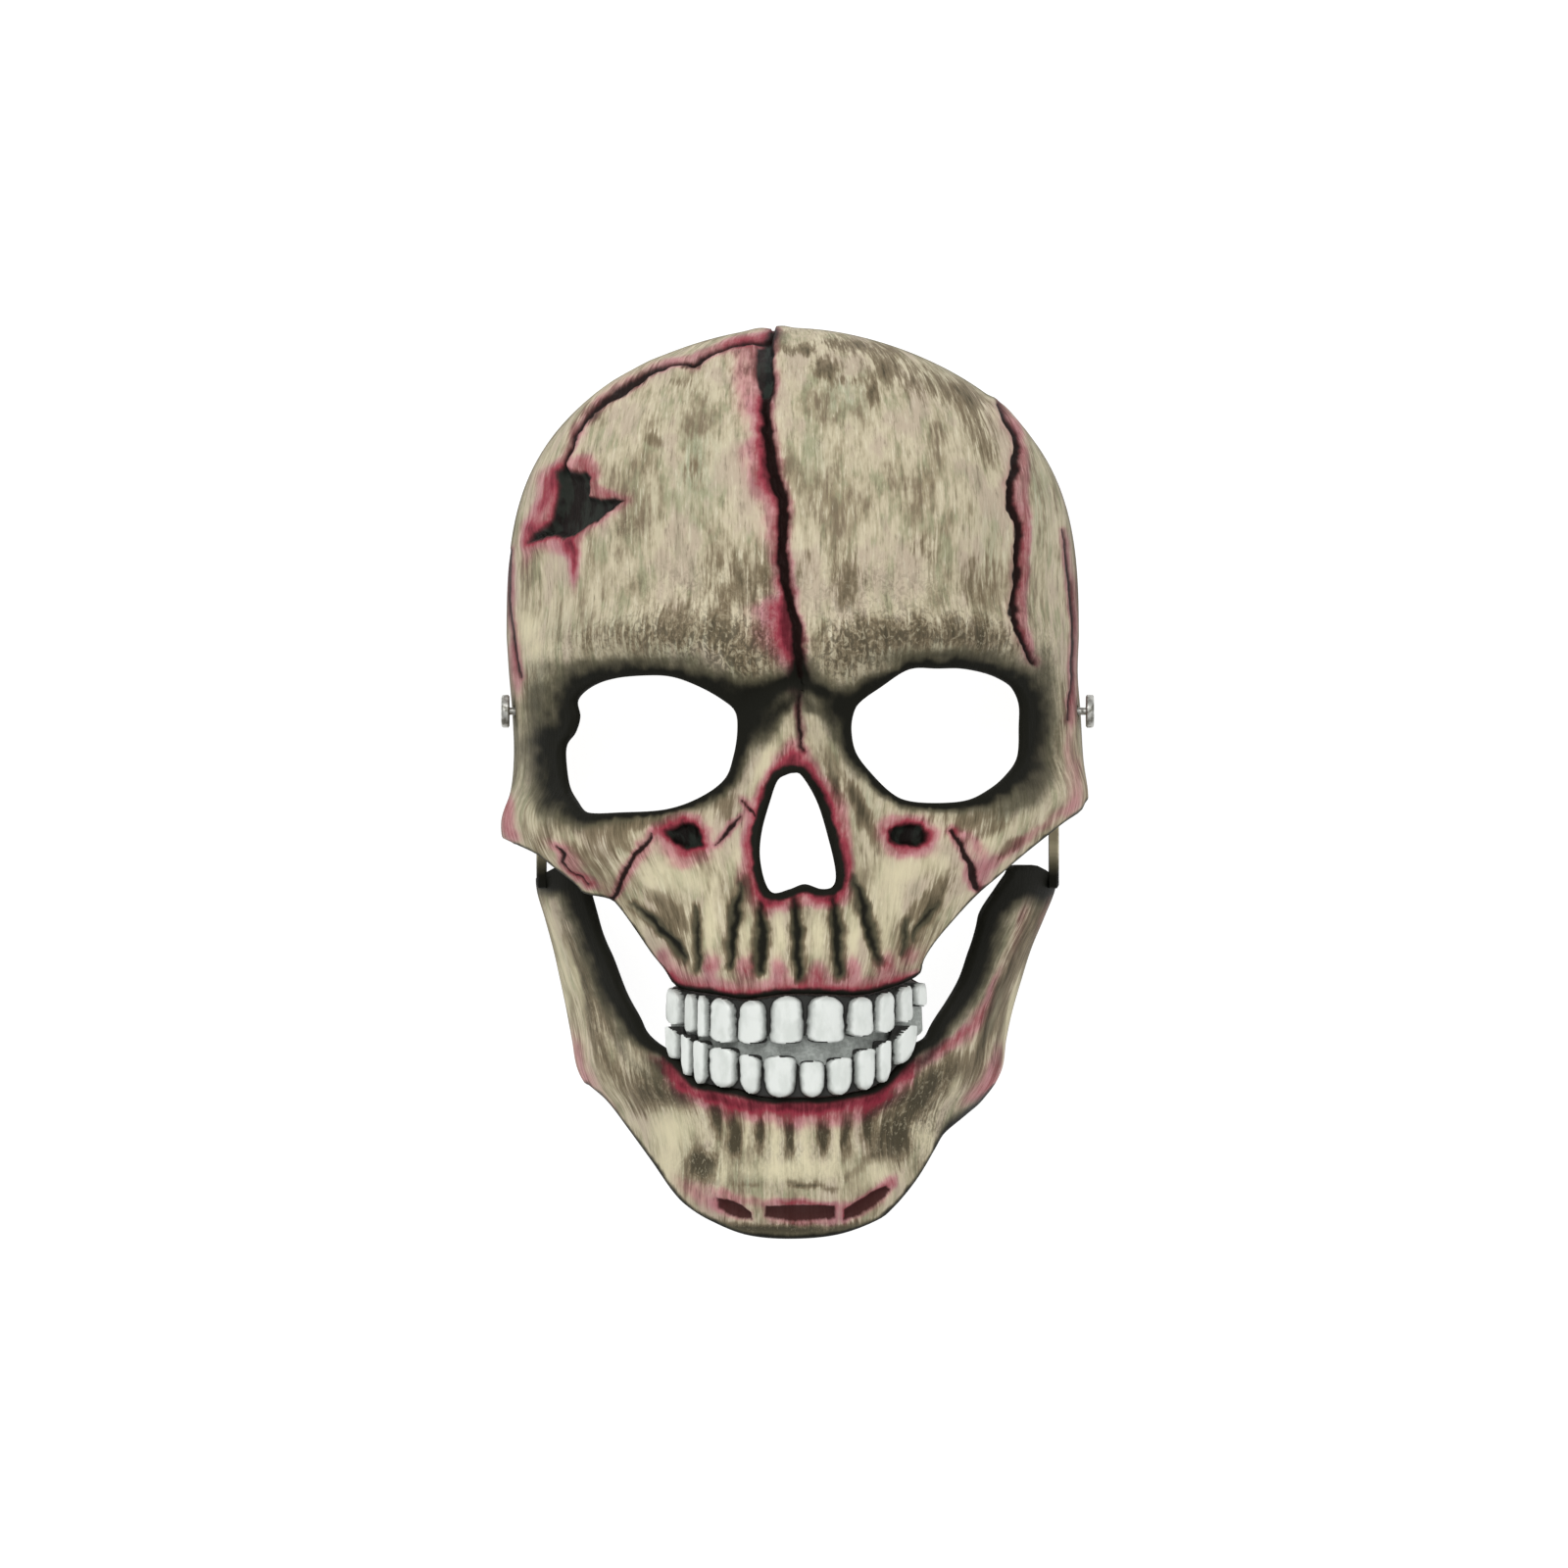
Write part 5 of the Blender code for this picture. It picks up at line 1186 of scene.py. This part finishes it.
def jaw_front(flat):
    """Sculpted and painted outside of the jaw."""
    place, out = jaw_form(flat)
    seen = in_picture(place)
    rough = seen + (ragged(seen, 1.5, 71) - seen) * np.clip(out[:, 2:] / 0.5, 0, 1)
    top, low = (distance_to(line[::2], place[:, :2], False) for line in (jaw_top, jaw_low))
    slots = ring_gap(ragged(seen, 0.7, 75), CHIN_SLOTS)
    lift = -0.0011 * spots(seen, JAW_HOLLOWS) - 0.0013 * step(-slots, -2, 4)
    lift += 0.0006 * band(slots, 5, 5)
    lift += 0.0006 * spots(seen, JAW_RIBS)
    lift -= EDGE_FALL * cut_edge(np.minimum(top, low))
    top, low = top / POINT, low / POINT
    wobble = lumps(seen, 11, 81) + 0.6 * lumps(seen, 5, 82)
    reach = along(JAW_EDGE, seen[:, 1])[0]
    teeth = step(seen[:, 1], 1052, 1076) * (seen[:, 0] > 676) * (seen[:, 0] < 932)
    clear = 1 - spots(rough, JAW_DARK, 1.0)
    clear *= 1 - 0.99 * halo(top + 0.10 * reach * wobble, reach, 2.6)
    clear *= 1 - 0.86 * (1 - step(low + wobble, 2.0, 8.0)) - 0.19 * teeth * (top < 3)
    # Painted shade: darker where the jaw turns down towards the floor at its sides
    clear *= 1 - 0.45 * band(place[:, 2], 0, 0.012)
    pink = 1 - spots(rough, JAW_RED, 1.0)
    pink *= 1 - (0.58 + 0.26 * wobble) * teeth * band(top + 2 * wobble, 10, 13)
    pink *= 1 - 0.34 * halo(slots + wobble, 3, 1.5)
    fields = {
        "dark": 1 - clear,
        "red": 1 - pink,
        "brown": spots(rough, JAW_BROWN, 1.2),
        "pale": spots(rough, JAW_PALE, 1.2),
        "green": spots(rough, JAW_GREEN, 1.0),
        "speck": spots(rough, JAW_SPECK, 1.0),
        "line": slots,
        "pit": np.full(len(seen), FAR_OFF),
        "flat": flat,
    }
    return place + out * lift[:, None], fields


jaw_paint = bone_paint("painted jaw bone", (0.050, 0.016, 0.014))
# The inside of the jaw and its arms is near black, darker than the shell's bare inside
black_inside = Paint("jaw inside black", roughness=0.7, shine=0.1)
black_cloud = black_inside.noise(0.004).ramp(0.4, 0.65)
black_inside.colour(black_inside.mix((0.010, 0.010, 0.008), (0.022, 0.021, 0.016), black_cloud))
jaw = skin(
    "jaw", "jaw", fill(jaw_rim, [], SHELL_GRID, jaw_busy), fill(jaw_rim, [], JAW_BACK_GRID),
    jaw_front, inside_of(jaw_form, JAW_WALL), [jaw_paint, black_inside.material],
)
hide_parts("jaw_shell")

# Jaw arms: flat straps of the same moulding that run up inside the cheeks, each with a rivet hole.
# Outer face, half width and foot of an arm, then its grid step and the hole's radius, in metres
ARM_FACE, ARM_HALF, ARM_ROOT = 0.0803, 0.0090, -0.0330
ARM_GRID, ARM_HOLE = 0.0012, 0.00145
arm_turn = np.linspace(0, math.pi, 40)
arm_line = np.vstack([
    np.stack([PIVOT[1] + ARM_HALF * np.cos(arm_turn), PIVOT[0] + ARM_HALF * np.sin(arm_turn)], axis=1),
    [(PIVOT[1] - ARM_HALF, ARM_ROOT), (PIVOT[1] + ARM_HALF, ARM_ROOT)],
])
arm_line = even_steps(np.vstack([arm_line, arm_line[:1]]), ARM_GRID)[:-1]
arm_hole = ARM_HOLE * np.stack([np.cos(round_turn), np.sin(round_turn)], axis=1) + PIVOT[::-1]
for name, side in (("left_jaw_arm", -1), ("right_jaw_arm", 1)):

    def arm_front(flat, side=side):
        """Flat outer face with a softened edge, darkened towards the jaw."""
        edge = np.minimum(distance_to(arm_line, flat), distance_to(arm_hole, flat))
        sunk = 0.0006 * np.clip(1 - edge / 0.001, 0, 1) ** 2
        place = np.stack([side * (ARM_FACE - sunk), flat[:, 1], flat[:, 0]], axis=1)
        shade = 0.12 + 0.8 * step(-flat[:, 1], 0.020, 0.031)
        plain = {"red": 0, "brown": 0.1, "pale": 0.5, "green": 0.5, "speck": 0}
        plain.update(line=FAR_OFF, pit=FAR_OFF)
        fields = {field: np.full(len(flat), float(value)) for field, value in plain.items()}
        return place, {"dark": shade, **fields, "flat": flat}

    def arm_back(flat, side=side):
        """Flat inner face."""
        inner = np.full(len(flat), side * (ARM_FACE - JAW_WALL))
        return np.stack([inner, flat[:, 1], flat[:, 0]], axis=1)

    pattern, pattern_back = fill(arm_line, [arm_hole], ARM_GRID), fill(arm_line, [arm_hole], JAW_BACK_GRID)
    arm = skin(name, "jaw", pattern, pattern_back, arm_front, arm_back, [jaw_paint, black_inside.material])
    if side > 0:
        arm.data.flip_normals()
    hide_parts("jaw_shell")

# Teeth: two moulded rows of white enamel-painted plastic, black between the teeth.
# Each tooth is a soft dome across the arch, squarer towards its tip.
TOOTH_WALL = 0.0032
TOOTH_BULGE = 0.0018
TOOTH_GRID, TOOTH_BACK_GRID = 0.00042, 0.0012
# How far a row runs on behind the gum line, and how deep it lies there, in metres
UNDER_GUM, ROOT_SUNK = 0.0016, 0.0052
tooth_paint = Paint("tooth enamel with painted shade", roughness=0.32)
across, gum_way, tip_way = (tooth_paint.field(name) for name in ("across", "gum", "tip"))
cloud = tooth_paint.noise(0.004, (1, 2.2, 1), detail=4)
fleck = tooth_paint.noise(0.0009, (1, 2.0, 1), detail=2, shift=2.0)
enamel = tooth_paint.mix((0.77, 0.80, 0.765), (0.62, 0.655, 0.615), cloud.ramp(0.40, 0.66) * 0.7)
# Painted shade: grey towards each tooth's sides, its gum end and its tip, where the domes turn away and tuck
# under the gum
enamel = tooth_paint.mix(enamel, (0.32, 0.34, 0.32), (across + (fleck - 0.5) * 0.25).ramp(0.58, 1.02) * 0.85)
enamel = tooth_paint.mix(enamel, (0.30, 0.31, 0.29), (gum_way + (cloud - 0.5) * 1.2).ramp(2.6, 0.4) * 0.75)
enamel = tooth_paint.mix(enamel, (0.45, 0.47, 0.45), (tip_way + (fleck - 0.5) * 0.6).ramp(0.9, 0.1) * 0.45)
gap_line = (across + (fleck - 0.5) * 0.14).ramp(0.97, 1.07)
enamel = tooth_paint.mix(enamel, (0.012, 0.012, 0.010), gap_line * 0.99)
enamel = tooth_paint.mix(enamel, (0.040, 0.018, 0.016), gum_way.ramp(0.7, 0.1) * 0.95)
tooth_paint.colour(enamel)
tooth_paint.roughness((across.ramp(0.9, 1.1) * 0.4 + 0.32).clamp())
tooth_paint.bump(cloud, 0.0002)


def tooth_row(name, node, body, arch, rows, gum, toward):
    """One row of teeth between a gum line and the tips.

    Columns of a row: left side, right side and tip, in picture places.
    """
    section = arch_section(*arch)
    gum = gum[np.argsort(gum[:, 0])]
    left, right, tip = np.array(rows, float).T
    centres = ((left + right) / 2 - MIDDLE[0]) * POINT
    halves = (right - left) / 2 * POINT
    lefts, rights = (left - MIDDLE[0]) * POINT, (right - MIDDLE[0]) * POINT
    tips = (MIDDLE[1] - tip) * POINT
    line = []
    for left, right, tip in zip(lefts, rights, tips):
        gum_left, gum_right = np.interp([left, right], gum[:, 0], gum[:, 1])
        turn = np.linspace(0, 1, 13)[:, None]
        curve_x = left + (right - left) * (0.5 - 0.5 * np.cos(turn * math.pi))
        base = gum_left + (gum_right - gum_left) * turn
        share = 0.84 + 0.16 * (1 - np.abs(2 * turn - 1) ** 2.6) ** 0.5
        line.append(np.hstack([curve_x, base + (tip - base) * share]))
    line = np.vstack(line)
    run = np.linspace(line[-1, 0], line[0, 0], 190)
    foot = np.interp(run, gum[:, 0], gum[:, 1]) - toward * UNDER_GUM
    rim = np.vstack([even_steps(line, TOOTH_GRID), np.stack([run, foot], axis=1)])

    def past_gum(place):
        """Way from the gum line towards the tips."""
        return toward * (place[:, 1] - np.interp(place[:, 0], gum[:, 0], gum[:, 1]))

    def front(flat):
        """Domes over the arch: height goes as (1 - s^2.6)^0.5, s the share of the way to a tooth's side."""
        place, out = bent(section, flat)
        off = (place[:, :1] - centres) / halves
        which = np.argmin(np.abs(off), axis=1)
        pick = (np.arange(len(off)), which)
        gum_gap = past_gum(place)
        tall = np.abs(tips[which] - np.interp(centres[which], gum[:, 0], gum[:, 1]))
        neck = np.clip((gum_gap - 0.0004) / 0.0034, 0, 1)
        end = np.clip((tall - gum_gap) / 0.0022, 0, 1)
        taper = 0.82 + 0.18 * np.clip(gum_gap / tall, 0, 1) ** 0.8
        slim = taper * (1 - (1 - neck) ** 2.2) ** 0.5 * (1 - (1 - end) ** 2.6) ** 0.45 + 1e-3
        share = 0.94 * np.abs(off[pick]) / slim + 0.05 * lumps(in_picture(place), 5, 91)
        dome = np.clip(1 - np.clip(share, 0, 1) ** 2.6, 0, 1) ** 0.5
        lift = TOOTH_BULGE * dome - 0.0016 * step(share, 0.9, 1.15)
        lift -= ROOT_SUNK * step(-gum_gap, -0.0006, 0.0004)
        fields = {"across": share, "gum": gum_gap * 1000, "tip": (tall - gum_gap) * 1000}
        return place + out * lift[:, None], fields

    def back(flat):
        """Smooth back of the row."""
        place, out = bent(section, flat)
        gum_gap = past_gum(place)
        return place - out * (TOOTH_WALL + UNDER_GUM * step(-gum_gap, -0.0006, 0.0004))[:, None]

    flat_rim = flat_front(section, rim)
    piece = skin(
        name, body, fill(flat_rim, [], TOOTH_GRID), fill(flat_rim, [], TOOTH_BACK_GRID),
        front, back, [tooth_paint.material], 70,
    )
    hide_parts(node)


upper_gum = smooth_line(LOWER_EDGE[11:20], 0.001, False)
tooth_row("upper_row", "upper_teeth", "face", (0.640, 1.006, 2.2), [
    (682, 697, 1044), (701, 712, 1052), (714, 723, 1057), (726, 750, 1062), (754, 781, 1063),
    (786, 819, 1063), (824, 861, 1062), (865, 890, 1056), (893, 911, 1052), (915, 929, 1042),
    (932, 943, 1026),
], upper_gum, -1)
lower_gum = smooth_line(JAW_TOP[11:24], 0.001, False)
tooth_row("lower_row", "lower_teeth", "jaw", (0.740, 0.992, 2.2), [
    (681, 694, 1046), (697, 707, 1054), (709, 722, 1060), (725, 752, 1067), (755, 776, 1074),
    (780, 812, 1075), (816, 841, 1080), (844, 869, 1077), (872, 892, 1068), (894, 908, 1060),
    (912, 935, 1045),
], lower_gum, 1)

# Screen: a thin grey strip of gauze behind the teeth, seen between the two rows; its grey is painted shade
# for the shaded gap between the rows.
GAUZE, SCREEN_GRID, SCREEN_BACK_GRID = 0.0008, 0.0012, 0.0030
screen_section = arch_section(0.640, 0.956, 2.2)
screen_shade_paint = Paint("grey gauze", roughness=0.85)
weave = screen_shade_paint.noise(0.0012, detail=2, rough=0.7)
screen_shade_paint.colour(screen_shade_paint.mix((0.47, 0.50, 0.47), (0.35, 0.375, 0.35), weave.ramp(0.4, 0.6)))


def screen_form(flat):
    """Arched form of the strip and its outward directions."""
    return bent(screen_section, flat)


def screen_front(flat):
    """Front of the strip, unpainted, so without fields."""
    return screen_form(flat)[0], {}


screen_line = metres([
    (684, 1030), (940, 1026), (941, 1052), (912, 1072), (880, 1088), (740, 1090), (706, 1076), (686, 1058),
    (684, 1030),
])
screen_rim = flat_front(screen_section, even_steps(screen_line, SCREEN_GRID)[:-1])
screen = skin(
    "screen", "jaw", fill(screen_rim, [], SCREEN_GRID), fill(screen_rim, [], SCREEN_BACK_GRID),
    screen_front, inside_of(screen_form, GAUZE), [screen_shade_paint.material],
)
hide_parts("mouth_screen")

# Rivets: steel studs turned on a lathe, disc head outside, stem through shell and arm, washer inside.
steel = Paint("worn steel", roughness=0.38, metallic=0.85)
scuff = steel.noise(0.0016, detail=4)
steel.colour(steel.mix((0.46, 0.46, 0.43), (0.20, 0.195, 0.17), scuff.ramp(0.42, 0.66)))
steel.roughness(scuff.ramp(0.3, 0.7) * 0.25 + 0.30)
HEAD_FACE, HEAD_ROUND, STEM = 0.0912, 0.0008, 0.00115
AROUND = 64
corner = np.linspace(0, math.pi / 2, 7)
# columns: way out from the middle of the head, half width
rivet_profile = np.vstack([
    [(0.0756, 0.0), (0.0756, 0.0037), (0.0759, 0.0040), (0.0767, 0.0040), (0.0770, 0.0037), (0.0770, STEM)],
    [(HEAD_FACE - 0.0025, STEM), (HEAD_FACE - 0.0025, 0.0046), (HEAD_FACE - 0.0021, 0.0051)],
    np.stack([
        HEAD_FACE - HEAD_ROUND + HEAD_ROUND * np.sin(corner), 0.0043 + HEAD_ROUND * np.cos(corner),
    ], axis=1),
    [(HEAD_FACE - 0.0002, 0.0022), (HEAD_FACE - 0.0003, 0.0)],
])
turns = np.linspace(0, 2 * math.pi, AROUND, endpoint=False)
far, wide = rivet_profile[:, :1], rivet_profile[:, 1:]
index = np.arange(len(far) * AROUND).reshape(len(far), AROUND)
a, b = index[:-1], np.roll(index, -1, axis=1)[:-1]
c, d = np.roll(index, -1, axis=1)[1:], index[1:]
for name, node, side in (("left_rivet", "rivet_left", -1), ("right_rivet", "rivet_right", 1)):
    ring = np.stack([
        np.broadcast_to(side * far, (len(far), AROUND)),
        PIVOT[0] + wide * np.cos(turns), PIVOT[1] + wide * np.sin(turns),
    ], axis=-1)
    quads = np.stack([a, d, c, b] if side < 0 else [a, b, c, d], axis=-1).reshape(-1, 4)
    mesh = bpy.data.meshes.new(name)
    mesh.from_pydata(ring.reshape(-1, 3).tolist(), [], quads.tolist())
    mesh.materials.append(steel.material)
    mesh.shade_smooth()
    mesh.set_sharp_from_angle(angle=math.radians(40))
    rivet = placed(name, mesh)
    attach(rivet, "face")
    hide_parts(node)
